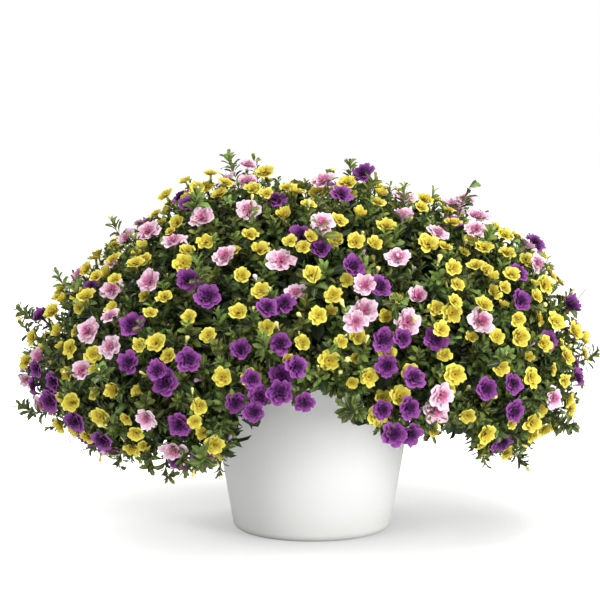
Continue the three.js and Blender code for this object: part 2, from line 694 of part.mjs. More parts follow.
/** Where the sprays lie: an angle range round the axis, a range down from the top, and a stem. */
function planSprays() {
  const sprays = [];
  const add = (tier, count, circle, shift) => {
    for (let i = 0; i < count; i += 1) {
      const half = Math.PI / count;
      const middle = shift + i * 2 * half;
      const foot = new THREE.Vector3(circle * Math.cos(middle), circle * Math.sin(middle), 0);
      foot.z = soilTop(circle) - SOIL.holeDepth;
      sprays.push({ tier, number: i + 1, middle, half, foot });
    }
  };
  add('crown', SPRAY.crownCount, SPRAY.crownStemCircle, Math.PI / 4);
  add('skirt', SPRAY.skirtCount, SPRAY.skirtStemCircle, -Math.PI / 2);
  return sprays;
}

/** A point inside a spray's own share of the mound, kept off the walls between neighbours. */
function shareAt(spray, side, polar, depth) {
  const flat = (reach(polar, spray.middle) - depth) * Math.sin(polar);
  const off = Math.asin(Math.min(0.9, SPRAY.sideGap / flat));
  return pointAt(polar, spray.middle + side * (spray.half - off), depth);
}

/** The inner body of a spray: a rounded share of the mound, lofted across from wall to wall. */
function sprayCore(spray) {
  const crown = spray.tier === 'crown';
  const sides = crown ? [-1, -0.5, 0, 0.5, 1] : [-1, 0, 1];
  const loops = sides.map((side) => {
    const lip = lipPolar(spray.middle + side * spray.half);
    const start = radians(crown ? SPRAY.crownTop : SPRAY.skirtEdge);
    const end = crown ? radians(SPRAY.crownEdge) : lip - radians(SPRAY.lipBack + 2);
    const polarAt = (part) => THREE.MathUtils.lerp(start, end, part);
    const sink = SPRAY.edgeSink * side * side;
    const loop = SKIN_PARTS.map((part) => shareAt(spray, side, polarAt(part), SPRAY.skinDepth + sink));
    if (!crown) {
      loop.push(shareAt(spray, side, lip - radians(SPRAY.lipBack), SPRAY.skinDepth + SPRAY.lipDepth));
    }
    const backs = BACK_PARTS[spray.tier];
    return loop.concat(backs.map((part) => shareAt(spray, side, polarAt(part), SPRAY.backDepth)));
  });
  const size = loops[0].length;
  const triangles = [];
  for (let near = 0; near < (sides.length - 1) * size; near += size) {
    const far = near + size;
    const deepens = loops[far / size][3].z < loops[near / size][3].z;
    for (let i = 0; i < size; i += 1) {
      const next = (i + 1) % size;
      if (deepens) {
        triangles.push(near + i, near + next, far + i, near + next, far + next, far + i);
      } else {
        triangles.push(near + i, near + next, far + next, near + i, far + next, far + i);
      }
    }
  }
  triangles.push(...wallFaces(loops[0], 0, false));
  triangles.push(...wallFaces(loops.at(-1), (sides.length - 1) * size, true));
  return solidOf(loops.flat(), triangles);
}

/** The triangles that close one flat wall of a spray's body. */
function wallFaces(loop, start, faceForward) {
  const outline = loop.map((point) => new THREE.Vector2(Math.hypot(point.x, point.y), point.z));
  return THREE.ShapeUtils.triangulateShape(outline, []).flatMap((face) => {
    const forward = THREE.ShapeUtils.area(face.map((i) => outline[i])) < 0;
    const ordered = forward === faceForward ? face : [face[0], face[2], face[1]];
    return ordered.map((i) => start + i);
  });
}

/** The stem of a spray, straight up out of its hole in the soil and over into its body. */
function sprayStem(spray) {
  const crown = spray.tier === 'crown';
  const polar = radians(crown ? STEM.crownPolar : STEM.skirtPolar);
  const into = pointAt(polar, spray.middle, STEM.into);
  const clear = spray.foot.clone().setZ(spray.foot.z + SOIL.holeDepth + STEM.clear);
  const low = spray.foot.clone().setZ(clear.z + STEM.upright - STEM.clear);
  const bend = clear.clone().lerp(into, STEM.bendShare);
  bend.z += crown ? 0 : STEM.skirtLift;
  return stalkThrough([spray.foot, clear, low, bend, into], STEM.radius, 4);
}

/** A tuft: a whorl of narrow leaves on a shoot that tapers down into the spray's body. */
function tuftSolid(tuft, grow) {
  const { root, tip, facing, leaves, phase } = tuft;
  const [first, second] = crossFrame(facing);
  const at = (radius, turn, lift) => tip.clone()
    .addScaledVector(first, radius * Math.cos(turn))
    .addScaledVector(second, radius * Math.sin(turn))
    .addScaledVector(facing, lift);
  const ring = leaves.flatMap((length, i) => {
    const turn = phase + (TURN * i) / leaves.length;
    const widest = length * TUFT.widestAt;
    const half = Math.atan2(TUFT.leafHalf + grow, widest);
    return [
      at(widest, turn - half, widest * TUFT.lift),
      at(length + grow, turn, length * TUFT.lift),
      at(widest, turn + half, widest * TUFT.lift),
    ];
  });
  const collarAt = tip.clone().addScaledVector(facing, -TUFT.collarDepth - grow);
  const collar = ringAt(collarAt, facing, TUFT.collar + grow, 3, phase);
  const top = tip.clone().addScaledVector(facing, TUFT.crown + grow);
  const points = [...ring, top, ...collar, root];
  const count = ring.length;
  const triangles = headFaces(points, 0, count, count, count + 1, facing);
  [0, 1, 2].forEach((i) => triangles.push(count + 1 + ((i + 1) % 3), count + 1 + i, count + 4));
  return solidOf(points, triangles);
}

/** The spray that owns a place on the mound, or none near a wall between sprays. */
function ownerOf(sprays, polar, azimuth) {
  return sprays.find((spray) => {
    const crown = spray.tier === 'crown';
    const turn = Math.abs(Math.atan2(Math.sin(azimuth - spray.middle), Math.cos(azimuth - spray.middle)));
    const inside = crown ? polar < radians(SPRAY.crownEdge - 3)
      : polar > radians(SPRAY.skirtEdge + 2) && polar < lipPolar(azimuth) - radians(SPRAY.lipBack + 2);
    const flat = reach(polar, azimuth) * Math.sin(polar);
    return inside && turn < spray.half - TUFT.wallClear / Math.max(TUFT.wallClear, flat);
  });
}

/** Places for tufts: evenly over the face, and some that stand out of the outline and the lip. */
function planTufts() {
  const places = (count, shift, out, start) => evenPolars(count).map((polar, i) => ({
    index: start + i, polar, azimuth: i * GOLDEN_ANGLE + shift, out,
  }));
  return [...places(TUFT.standing, 0.5, TUFT.standOut, TUFT.places), ...places(TUFT.places, 2.1, 0, 0)];
}

/** One try at a tuft near its planned place, or null where no spray lies below. */
function tuftNear(plan, attempt, sprays) {
  const seed = plan.index * TUFT.tries + attempt;
  const away = reach(plan.polar, plan.azimuth);
  const swing = (1 + attempt * 0.5) * TUFT.swing;
  const polar = Math.max(0.05, plan.polar + (lean(seed, DRAW.tuftPolar) * 2 * swing) / away);
  const flat = away * Math.max(0.2, Math.sin(polar));
  const azimuth = plan.azimuth + (lean(seed, DRAW.tuftAzimuth) * 2 * swing) / flat;
  const owner = ownerOf(sprays, polar, azimuth);
  if (!owner) {
    return null;
  }
  const outward = outwardAt(polar, azimuth);
  const [first, second] = crossFrame(outward);
  const facing = outward.clone()
    .addScaledVector(first, lean(seed, DRAW.tuftLeanOne) * TUFT.lean)
    .addScaledVector(second, lean(seed, DRAW.tuftLeanTwo) * TUFT.lean)
    .normalize();
  const count = 4 + Math.floor(2 * draw(seed, DRAW.tuftCount));
  const out = plan.out - TUFT.top - TUFT.topSpread * draw(seed, DRAW.tuftTop);
  const lengthOf = (i) => TUFT.leafLength * (1 + 0.3 * lean(seed * 7 + i, DRAW.leafLength));
  return {
    owner,
    root: pointAt(polar, azimuth, SPRAY.skinDepth + TUFT.rootDepth),
    tip: pointAt(polar, azimuth).addScaledVector(outward, out),
    facing,
    leaves: Array.from({ length: count }, (_, i) => lengthOf(i)),
    phase: draw(seed, DRAW.tuftTurn) * TURN,
  };
}

/** Adds tufts to the sprays wherever one fits between what is there, trying a few places near each. */
function growTufts(sprays, trussSolids) {
  const taken = trussSolids.map((solid) => ({ solid, box: solid.boundingBox() }));
  const tries = Array.from({ length: TUFT.tries }, (_, attempt) => attempt);
  planTufts().forEach((plan) => {
    tries.some((attempt) => {
      const tuft = tuftNear(plan, attempt, sprays);
      return tuft !== null && rootTuft(tuft, sprays, taken);
    });
  });
}

/** Roots a tuft in its spray where it reaches it and meets nothing else, and says whether it did. */
function rootTuft(tuft, sprays, taken) {
  const solid = tuftSolid(tuft, 0);
  const guard = tuftSolid(tuft, TUFT.clear);
  const box = guard.boundingBox();
  const meets = (other) => boxesMeet(box, other.box) && guard.intersect(other.solid).volume() > 0;
  const neighbours = sprays.filter((spray) => spray !== tuft.owner)
    .map((spray) => ({ solid: spray.core, box: spray.box }));
  const rooted = tuft.owner.core.intersect(solid).volume() > TUFT.leastRoot;
  if (!rooted || taken.some(meets) || neighbours.some(meets)) {
    return false;
  }
  taken.push({ solid: guard, box });
  tuft.owner.tufts.push(solid);
  return true;
}

/** Whether two boxes share space. */
function boxesMeet(one, other) {
  return [0, 1, 2].every((axis) => one.min[axis] < other.max[axis] && other.min[axis] < one.max[axis]);
}

// ---- Assembly -------------------------------------------------------------------------------------

const plant = new THREE.Group();
plant.name = 'calibrachoa';

const sprays = planSprays();
sprays.forEach((spray) => {
  spray.tufts = [];
  spray.core = sprayCore(spray);
  spray.box = spray.core.boundingBox();
});
const trusses = planTrusses(placeBlooms(), sprays);
const trussSolids = trusses.map(trussSolid);
growTufts(sprays, trussSolids);

plant.add(meshFrom('tub', tubSolid(), materials.tub));
plant.add(meshFrom('soil', soilSolid(sprays), materials.soil));
trusses.forEach((truss, i) => {
  plant.add(meshFrom(`${truss.kind}_truss_${truss.number}`, trussSolids[i], materials[truss.kind]));
});
sprays.forEach((spray) => {
  const solid = wasm.Manifold.union([spray.core, sprayStem(spray), ...spray.tufts]).simplify(FINEST);
  plant.add(meshFrom(`${spray.tier}_spray_${spray.number}`, solid, materials.leaf));
});

export default plant;
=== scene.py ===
"""Looks of a calibrachoa that mounds over a plain white tub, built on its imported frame.

Metres, +Z up, -Y is the front, and the origin is the middle of the tub's flat base. The plant's
outer face is a rounded mound. Blooms, shoots and stems are placed on it by repeatable rules, and
Geometry Nodes trees then set the petals, leaves and stems there.
"""

import json
import logging
import math
from dataclasses import dataclass
from enum import Enum
from functools import cache
from typing import Self

import bpy
import numpy as np
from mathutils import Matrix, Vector, noise

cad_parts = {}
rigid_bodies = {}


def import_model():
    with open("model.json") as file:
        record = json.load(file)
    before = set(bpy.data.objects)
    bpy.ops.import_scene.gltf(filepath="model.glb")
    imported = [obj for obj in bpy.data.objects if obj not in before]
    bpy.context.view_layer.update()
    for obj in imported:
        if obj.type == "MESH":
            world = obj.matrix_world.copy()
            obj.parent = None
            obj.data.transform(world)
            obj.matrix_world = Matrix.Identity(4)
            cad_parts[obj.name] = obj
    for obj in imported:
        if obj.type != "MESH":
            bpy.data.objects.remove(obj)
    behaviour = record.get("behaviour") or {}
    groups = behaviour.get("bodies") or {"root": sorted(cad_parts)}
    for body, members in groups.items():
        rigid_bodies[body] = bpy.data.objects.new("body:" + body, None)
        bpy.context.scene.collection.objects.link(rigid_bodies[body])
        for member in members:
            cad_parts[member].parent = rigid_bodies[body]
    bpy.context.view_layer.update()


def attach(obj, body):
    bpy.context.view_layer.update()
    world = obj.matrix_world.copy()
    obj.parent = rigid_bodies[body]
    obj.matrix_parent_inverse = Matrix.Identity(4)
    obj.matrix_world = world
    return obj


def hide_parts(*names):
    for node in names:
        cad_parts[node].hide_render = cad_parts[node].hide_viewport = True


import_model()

Array = np.ndarray
Pair = tuple[float, float]
Triple = tuple[float, float, float]
Colour = Triple
Place = Triple
Faces = list[tuple[int, ...]]
Mesh = bpy.types.Mesh
Material = bpy.types.Material
Node = bpy.types.Node
Piece = bpy.types.Object
Socket = bpy.types.NodeSocket
Sockets = bpy.types.bpy_prop_collection
Tree = bpy.types.NodeTree

log = logging.getLogger("calibrachoa")

BODY = "root"
MM = 0.001
TURN = 2 * math.pi
GOLDEN_ANGLE = math.pi * (3 - math.sqrt(5))
UP = np.array((0.0, 0.0, 1.0))
LIGHT_SIDE = np.array((0.1, -1.0, 0.0))
STEEP = 0.9
FRONT = -90.0
MEAN_AZIMUTH = math.pi / 4

WORD = 2**32
NUMBER_MIX = 0x9E3779B1
USE_MIX = 0x85EBCA6B
BIT_MIXES = ((15, 0x2C1B3C6D), (12, 0x297A2D39))
LAST_SHIFT = 15


# ---- Numbers and vectors ----


class Use(Enum):
    """What a repeatable draw decides. The first eight are the solids' own."""

    POLAR = 0
    AZIMUTH = 1
    SIZE = 2
    LEAN_ONE = 3
    LEAN_TWO = 4
    KIND = 5
    SINK = 6
    PHASE = 7
    SHOOT_POLAR = 51
    SHOOT_AZIMUTH = 52
    SHOOT_DEPTH = 53
    SHOOT_STAND = 54
    SHOOT_LEAN_X = 55
    SHOOT_LEAN_Y = 56
    SHOOT_LEAN_Z = 57
    SHOOT_PHASE = 58
    LEAF_LENGTH = 61
    LEAF_ANGLE = 62
    LEAF_ROLL = 63
    SHAPE = 64
    OLD_X = 65
    OLD_Y = 66
    OLD_Z = 67
    OLD_DEPTH = 68
    BUD = 71
    BUD_KIND = 72
    BUD_SIZE = 73
    BRANCH = 74
    FRESH = 75
    TURN_ONE = 81
    TURN_TWO = 82
    LATE_POLAR = 83
    LATE_AZIMUTH = 84
    LATE_SIZE = 85
    LATE_DEPTH = 86
    FRINGE = 91
    FRINGE_DEPTH = 92
    STAND_OUT = 93


def draw(index: Array | int, use: Use) -> Array:
    """A repeatable draw from 0 to 1, mixed from whole numbers as the solids' own is.

    Args:
        index: The numbers of the things that draw.
        use: What the draw decides.

    Returns:
        One value for each number.
    """
    mask = np.uint64(WORD - 1)
    bits = ((np.asarray(index, np.uint64) + np.uint64(1)) * np.uint64(NUMBER_MIX)) & mask
    bits ^= np.uint64((use.value + 1) * USE_MIX % WORD)
    for shift, mix in BIT_MIXES:
        bits ^= bits >> np.uint64(shift)
        bits = (bits * np.uint64(mix)) & mask
    bits ^= bits >> np.uint64(LAST_SHIFT)
    return bits.astype(float) / WORD


def lean(index: Array | int, use: Use) -> Array:
    """A draw that leans either way, from minus a half to a half."""
    return draw(index, use) - 0.5


def strayed(sizes: Pair, index: Array, use: Use) -> Array:
    """Drawn sizes, each the least one plus a share of the spread."""
    return sizes[0] + sizes[1] * draw(index, use)


def level(right: Array, back: Array, height: float) -> Array:
    """Points at one height, from their two other parts."""
    return np.stack((right, back, np.full(len(right), height)), -1)


def swings(index: Array, *uses: Use) -> Array:
    """A stray direction for each number, one draw for each axis."""
    return np.stack([lean(index, use) for use in uses], -1)


def smoothstep(value: Array, low: float, high: float) -> Array:
    """A smooth step from 0 at low to 1 at high."""
    share = np.clip((value - low) / (high - low), 0, 1)
    return share * share * (3 - 2 * share)


def near(polar: Array, middle: float, spread: float) -> Array:
    """How near an angle from the top lies to a middle one in degrees, from 1 down to 0."""
    away = (np.degrees(polar) - middle) / spread
    return np.exp(-away * away)


def unit(vectors: Array) -> Array:
    """Vectors scaled to length 1."""
    return vectors / np.linalg.norm(vectors, axis=-1, keepdims=True)


def cross_frame(along: Array) -> tuple[Array, Array]:
    """Two directions square to each given one.

    Args:
        along: Directions of length 1.

    Returns:
        The first and the second direction, square to each other too.
    """
    steep = np.abs(along[:, 2:3]) >= STEEP
    side = np.where(steep, (1.0, 0.0, 0.0), UP)
    first = unit(np.cross(side, along))
    return first, np.cross(along, first)


def bend(starts: Array, first: Array, second: Array, ends: Array, count: int) -> Array:
    """Points along smooth bends.

    Args:
        starts: Where the bends start.
        first: The points that they leave towards.
        second: The points that they arrive from.
        ends: Where the bends end.
        count: How many points each bend has.

    Returns:
        An array of bends by points by three.
    """
    t = np.linspace(0, 1, count)[None, :, None]
    stops = [stop[:, None, :] for stop in (starts, first, second, ends)]
    weights = ((1 - t) ** 3, 3 * t * (1 - t) ** 2, 3 * t * t * (1 - t), t**3)
    return sum(weight * stop for weight, stop in zip(weights, stops))


# ---- The mound ----


@dataclass(frozen=True)
class Mound:
    """The plant's outer face, a rounded mound about a heart on the tub's axis.

    A place on it has two angles: polar, down from the top, and azimuth, round the axis from +X.
    """

    heart: float = 215 * MM
    half_width: float = 370 * MM
    leftward: float = 14 * MM
    half_depth: float = 306 * MM
    rise: float = 236 * MM
    drop: float = 146 * MM
    fullness: float = 2.0
    fullness_turn: float = 0.23
    low_fullness: float = 2.18
    crest: float = 12 * MM
    crest_polar: float = 14.0
    crest_spread: float = 8.0
    shoulder: float = 25 * MM
    shoulder_polar: float = 29.0
    shoulder_spread: float = 20.0
    wave: float = 8 * MM
    wave_start: float = 0.6
    lip: float = 112.0
    notch: float = 19.0
    left: Pair = (15.0, 27.0)
    right: Pair = (11.0, 17.0)
    far_right: Pair = (34.0, 62.0)
    far_share: float = 0.54

    def reach(self, polar: Array, azimuth: Array) -> Array:
        """How far the face lies from the heart.

        Args:
            polar: Angles down from the top.
            azimuth: Angles round the axis.

        Returns:
            The lengths.
        """
        right = np.cos(azimuth)
        half_width = self.half_width - self.leftward * right
        across = 1 / np.hypot(right / half_width, np.sin(azimuth) / self.half_depth)
        upper = polar < math.pi / 2
        power = np.where(upper, self.fullness + self.fullness_turn * right, self.low_fullness)
        height = np.where(upper, self.rise, self.drop)
        flat_share = (np.abs(np.sin(polar)) / across) ** power
        rise_share = (np.abs(np.cos(polar)) / height) ** power
        face = (flat_share + rise_share) ** (-1 / power)
        crest = self.crest * np.cos(2 * azimuth) * near(polar, self.crest_polar, self.crest_spread)
        shoulder = self.shoulder * (1 - right) / 2 * near(polar, self.shoulder_polar, self.shoulder_spread)
        swell = self.wave * np.sin(polar) ** 2 * np.sin(3 * polar)
        return face + crest + shoulder + swell * np.sin(4 * azimuth + self.wave_start)

    def point(self, polar: Array, azimuth: Array, depth: Array | float = 0.0) -> Array:
        """The points at two angles that lie a depth inside the face.

        Args:
            polar: Angles down from the top.
            azimuth: Angles round the axis.
            depth: How deep the points lie, below zero where they stand out.

        Returns:
            The points.
        """
        away = self.reach(polar, azimuth) - depth
        flat = away * np.sin(polar)
        height = self.heart + away * np.cos(polar)
        return np.stack((flat * np.cos(azimuth), flat * np.sin(azimuth), height), -1)

    def angles(self, places: Array) -> tuple[Array, Array, Array]:
        """Where places lie on the mound.

        Args:
            places: The places.

        Returns:
            Their angles down from the top and round the axis, and how deep they lie.
        """
        flat = np.hypot(places[:, 0], places[:, 1])
        height = places[:, 2] - self.heart
        polar = np.arctan2(flat, height)
        azimuth = np.arctan2(places[:, 1], places[:, 0])
        return polar, azimuth, self.reach(polar, azimuth) - np.hypot(flat, height)

    def slopes(self, polar: Array, azimuth: Array) -> tuple[Array, Array]:
        """The face's directions down from the top and round the axis.

        Args:
            polar: Angles down from the top.
            azimuth: Angles round the axis.

        Returns:
            Both directions, each as long as two small steps are on the face.
        """
        step = 0.02
        down = self.point(polar + step, azimuth) - self.point(polar - step, azimuth)
        round_axis = self.point(polar, azimuth + step) - self.point(polar, azimuth - step)
        return down, round_axis

    def outward(self, polar: Array, azimuth: Array) -> Array:
        """The face's own direction."""
        down, round_axis = self.slopes(polar, azimuth)
        return unit(np.cross(down, round_axis))

    def lip_polar(self, azimuth: Array) -> Array:
        """Where the skirt ends, higher in the parting at the front and to its right.

        Args:
            azimuth: Angles round the axis.

        Returns:
            Angles down from the top.
        """
        turn = np.degrees(np.arctan2(np.cos(azimuth), -np.sin(azimuth)))
        right = (1 - self.far_share) * smoothstep(turn, *self.right)
        right = right + self.far_share * smoothstep(turn, *self.far_right)
        full = np.where(turn < 0, smoothstep(-turn, *self.left), right)
        return np.radians(self.lip - self.notch * (1 - full))

    def even_polars(self, count: int) -> Array:
        """The angles down from the top that part the face into equal shares.

        Args:
            count: How many shares there are.

        Returns:
            The angle in the middle of each share.
        """
        steps = 120
        small = 0.01
        limit = math.radians(self.lip)
        mean = MEAN_AZIMUTH
        polar = limit * (np.arange(1, steps + 1) - 0.5) / steps
        away = self.reach(polar, mean)
        slope = (self.reach(polar + small, mean) - self.reach(polar - small, mean)) / (2 * small)
        sums = np.concatenate(((0.0,), np.cumsum(away * np.sin(polar) * np.hypot(away, slope))))
        shares = (np.arange(count) + 0.5) / count * sums[-1]
        cells = np.searchsorted(sums[1:], shares) + 1
        parts = (shares - sums[cells - 1]) / (sums[cells] - sums[cells - 1])
        return limit * (cells - 1 + parts) / steps


# ---- Meshes and Geometry Nodes ----


def plain_mesh(points: Array, faces: Faces, corners: Array | None = None) -> Mesh:
    """A smooth-shaded mesh.

    Args:
        points: Its points, in metres or in shares of a size.
        faces: Its faces, as numbers of points.
        corners: Its own map, if it has one, with a value pair for each corner of each face.

    Returns:
        The mesh.
    """
    mesh = bpy.data.meshes.new("shape")
    mesh.from_pydata(np.asarray(points, float).tolist(), [], faces)
    mesh.polygons.foreach_set("use_smooth", np.ones(len(mesh.polygons), bool))
    if corners is not None:
        layer = mesh.uv_layers.new(name="UVMap")
        layer.data.foreach_set("uv", np.asarray(corners, np.float32).ravel())
    return mesh


def ring_faces(rows: int, sides: int) -> Faces:
    """Joins rings of points, from the first ring to the last.

    Args:
        rows: How many rings there are.
        sides: How many points each ring has.

    Returns:
        The faces.
    """
    faces = []
    for low in range(0, (rows - 1) * sides, sides):
        for side in range(sides):
            after, high = (side + 1) % sides, low + sides
            faces.append((low + side, low + after, high + after, high + side))
    return faces


def give_values(mesh: Mesh, name: str, values: Array) -> None:
    """Gives a mesh's points a named number or vector each."""
    kind, key = ("FLOAT", "value") if values.ndim == 1 else ("FLOAT_VECTOR", "vector")
    mesh.attributes.new(name, kind, "POINT").data.foreach_set(key, values.astype(np.float32).ravel())


def in_use(node: Node) -> Socket:
    """The first output that a node offers in its present mode."""
    return next(socket for socket in node.outputs if socket.enabled)


class TreeBuilder:
    """Adds and links nodes in a node tree."""

    def __init__(self, tree: Tree) -> None:
        """Takes the tree to build in."""
        self.tree = tree

    def feed(self, socket: Socket, value: object) -> None:
        """Links an output to an input, or sets the input's own value.

        Args:
            socket: The input.
            value: The output or the value.
        """
        if isinstance(value, Socket):
            self.tree.links.new(value, socket)
        else:
            socket.default_value = value

    def node(
        self, kind: str, links: dict[str | int, object] | None = None, **settings: object
    ) -> Node:
        """Adds a node.

        Args:
            kind: Blender's name for the node.
            links: For each named or numbered input, an output socket or a value.
            settings: The node's own settings.

        Returns:
            The node.
        """
        made = self.tree.nodes.new(kind)
        for key, value in settings.items():
            setattr(made, key, value)
        for name, value in (links or {}).items():
            self.feed(made.inputs[name], value)
        return made


class NodesBuilder(TreeBuilder):
    """Builds one Geometry Nodes tree with named inputs."""

    def __init__(self, name: str, inputs: dict[str, str]) -> None:
        """Starts a tree from a geometry to a geometry.

        Args:
            name: The tree's name.
            inputs: Each further input's name and kind.
        """
        super().__init__(bpy.data.node_groups.new(name, "GeometryNodeTree"))
        sockets = self.tree.interface
        sockets.new_socket("Geometry", in_out="OUTPUT", socket_type="NodeSocketGeometry")
        for key, kind in {"Geometry": "Geometry", **inputs, "Material": "Material"}.items():
            sockets.new_socket(key, in_out="INPUT", socket_type="NodeSocket" + kind)
        self.inputs = self.tree.nodes.new("NodeGroupInput").outputs
        self.target = self.tree.nodes.new("NodeGroupOutput")

    def named(self, name: str, kind: str) -> Socket:
        """The output of a node that reads a named value of the points."""
        return self.node("GeometryNodeInputNamedAttribute", {"Name": name}, data_type=kind).outputs[0]

    def finish(self, geometry: Socket) -> Tree:
        """Realizes what was made, gives it the material input and ends the tree.

        Args:
            geometry: What was made.

        Returns:
            The tree.
        """
        real = self.node("GeometryNodeRealizeInstances", {"Geometry": geometry})
        links = {"Geometry": real.outputs[0], "Material": self.inputs["Material"]}
        painted = self.node("GeometryNodeSetMaterial", links)
        self.feed(self.target.inputs["Geometry"], painted.outputs[0])
        return self.tree


@cache
def scatter_tree() -> Tree:
    """Builds the tree, once, that sets one of several shapes on each point, turned and sized by its values.

    Returns:
        The tree.
    """
    kinds = {"Shapes": "Collection", "Size": "Float", "Seed": "Int"}
    build = NodesBuilder("set_shapes_on_points", kinds)
    shapes = build.node(
        "GeometryNodeCollectionInfo",
        {"Collection": build.inputs["Shapes"], "Separate Children": True, "Reset Children": True},
    )
    turned = build.node(
        "FunctionNodeAxesToRotation",
        {"Primary Axis": build.named("facing", "FLOAT_VECTOR"),
         "Secondary Axis": build.named("along", "FLOAT_VECTOR")},
        primary_axis="Z",
        secondary_axis="X",
    )
    sizes = {0: build.named("size", "FLOAT"), 1: build.inputs["Size"]}
    sized = build.node("ShaderNodeMath", sizes, operation="MULTIPLY")
    cloud = build.node("GeometryNodeMeshToPoints", {"Mesh": build.inputs["Geometry"]})
    placed = build.node(
        "GeometryNodeInstanceOnPoints",
        {"Points": cloud.outputs[0], "Instance": shapes.outputs[0], "Pick Instance": True,
         "Instance Index": build.named("shape", "INT"), "Rotation": turned.outputs[0],
         "Scale": sized.outputs[0]},
    )
    # Each shape's tint is half a random draw and half its tone, which for leaves carries painted shade.
    drawn = build.node("FunctionNodeRandomValue", {"Seed": build.inputs["Seed"]}, data_type="FLOAT")
    tints = {"A": in_use(drawn), "B": build.named("fresh", "FLOAT")}
    mixed = build.node("ShaderNodeMix", tints, data_type="FLOAT")
    tinted = build.node(
        "GeometryNodeStoreNamedAttribute",
        {"Geometry": placed.outputs[0], "Name": "tint", "Value": in_use(mixed)},
        data_type="FLOAT",
        domain="INSTANCE",
    )
    return build.finish(tinted.outputs[0])


@cache
def tube_tree() -> Tree:
    """Builds the tree, once, that turns lines into tubes, each point's thickness its own.

    Returns:
        The tree.
    """
    build = NodesBuilder("tubes_along_lines", {"Sides": "Int", "Thickness": "Float"})
    curve = build.node("GeometryNodeMeshToCurve", {"Mesh": build.inputs["Geometry"]})
    sizes = {0: build.named("thickness", "FLOAT"), 1: build.inputs["Thickness"]}
    thick = build.node("ShaderNodeMath", sizes, operation="MULTIPLY")
    round_form = {"Resolution": build.inputs["Sides"], "Radius": 1.0}
    ring = build.node("GeometryNodeCurvePrimitiveCircle", round_form)
    tube = build.node(
        "GeometryNodeCurveToMesh",
        {"Curve": curve.outputs[0], "Profile Curve": ring.outputs[0], "Scale": thick.outputs[0],
         "Fill Caps": True},
    )
    smooth = build.node("GeometryNodeSetShadeSmooth", {"Geometry": tube.outputs[0]})
    return build.finish(smooth.outputs[0])


def grow(name: str, mesh: Mesh, tree: Tree, values: dict[str, object]) -> Piece:
    """Runs a tree on a mesh and keeps the result as a plain piece.

    Args:
        name: The piece's name.
        mesh: The points or lines that the tree starts from.
        tree: The Geometry Nodes tree.
        values: The tree's named inputs.

    Returns:
        The piece, a plain mesh at the origin.
    """
    seed = bpy.data.objects.new(name + "_rule", mesh)
    bpy.context.scene.collection.objects.link(seed)
    modifier = seed.modifiers.new("rule", "NODES")
    modifier.node_group = tree
    for socket in tree.interface.items_tree:
        if socket.in_out == "INPUT" and socket.name in values:
            modifier[socket.identifier] = values[socket.name]
    graph = bpy.context.evaluated_depsgraph_get()
    made = bpy.data.meshes.new_from_object(
        seed.evaluated_get(graph), preserve_all_data_layers=True, depsgraph=graph
    )
    bpy.data.meshes.remove(mesh)
    return shown(name, made)


def shown(name: str, mesh: Mesh) -> Piece:
    """Puts a finished mesh in the scene as a piece.

    Args:
        name: The piece's name, which its mesh gets too.
        mesh: The mesh.

    Returns:
        The piece.
    """
    mesh.name = name
    piece = bpy.data.objects.new(name, mesh)
    bpy.context.scene.collection.objects.link(piece)
    return piece


def settle(piece: Piece, stands_for: list[str] | None = None) -> None:
    """Lets a piece ride on the plant, and reports it.

    Args:
        piece: The piece.
        stands_for: The solids that it takes the place of.
    """
    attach(piece, BODY)
    if stands_for:
        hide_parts(*stands_for)
    faces = sum(len(face.vertices) - 2 for face in piece.data.polygons)
    log.info("%s: %d triangles, stands for %d solids", piece.name, faces, len(stands_for or []))


def shapes_collection(meshes: list[Mesh]) -> bpy.types.Collection:
    """Gathers shapes for a tree to set on points, out of the scene.

    Args:
        meshes: The shapes.

    Returns:
        The collection.
    """
    group = bpy.data.collections.new("shapes")
    for number, mesh in enumerate(meshes):
        group.objects.link(bpy.data.objects.new(f"shape_{number}", mesh))
    return group


def drop_shapes(group: bpy.types.Collection) -> None:
    """Removes a collection of shapes once its tree has run.

    Args:
        group: The collection.
    """
    for member in list(group.objects):
        bpy.data.meshes.remove(member.data)
    bpy.data.collections.remove(group)


class Rows:
    """Arrays that hold one row for each thing, in the same order."""

    def pick(self, which: Array) -> Self:
        """The rows that a mask or a list of numbers picks."""
        return type(self)(*(value[which] for value in vars(self).values()))

    @classmethod
    def joined(cls, blocks: list[Self]) -> Self:
        """The rows of several blocks in one."""
        fields = zip(*(vars(block).values() for block in blocks))
        return cls(*(np.concatenate(values) for values in fields))


@dataclass
class Points(Rows):
    """Places for shapes: where each is, its two directions, its size, its shape and its tone, which for
    leaves also holds painted shade.
    """

    places: Array
    facing: Array
    along: Array
    size: Array
    shape: Array
    fresh: Array

    def mesh(self) -> Mesh:
        """Makes the places a mesh of single points with named values.

        Returns:
            The mesh.
        """
        mesh = plain_mesh(self.places, [])
        for key in ("facing", "along", "size", "fresh"):
            give_values(mesh, key, getattr(self, key))
        mesh.attributes.new("shape", "INT", "POINT").data.foreach_set("value", self.shape.astype(np.int32))
        return mesh


def lines_mesh(lines: Array, thickness: Array) -> Mesh:
    """Lines as a mesh of edges.

    Args:
        lines: An array of lines by points by three.
        thickness: The radius at each point of each line.

    Returns:
        The mesh, with each point's thickness as a named value.
    """
    count, stops = lines.shape[:2]
    starts = (np.arange(count)[:, None] * stops + np.arange(stops - 1)).ravel()
    mesh = bpy.data.meshes.new("lines")
    mesh.from_pydata(lines.reshape(-1, 3).tolist(), np.stack((starts, starts + 1), -1).tolist(), [])
    give_values(mesh, "thickness", np.broadcast_to(thickness, (count, stops)).ravel())
    return mesh


# ---- Finishes ----


def linear(colour: Colour) -> tuple[float, float, float, float]:
    """A screen colour as the linear one that shaders take."""
    parts = [part / 12.92 if part <= 0.04045 else ((part + 0.055) / 1.055) ** 2.4 for part in colour]
    return (*parts, 1.0)


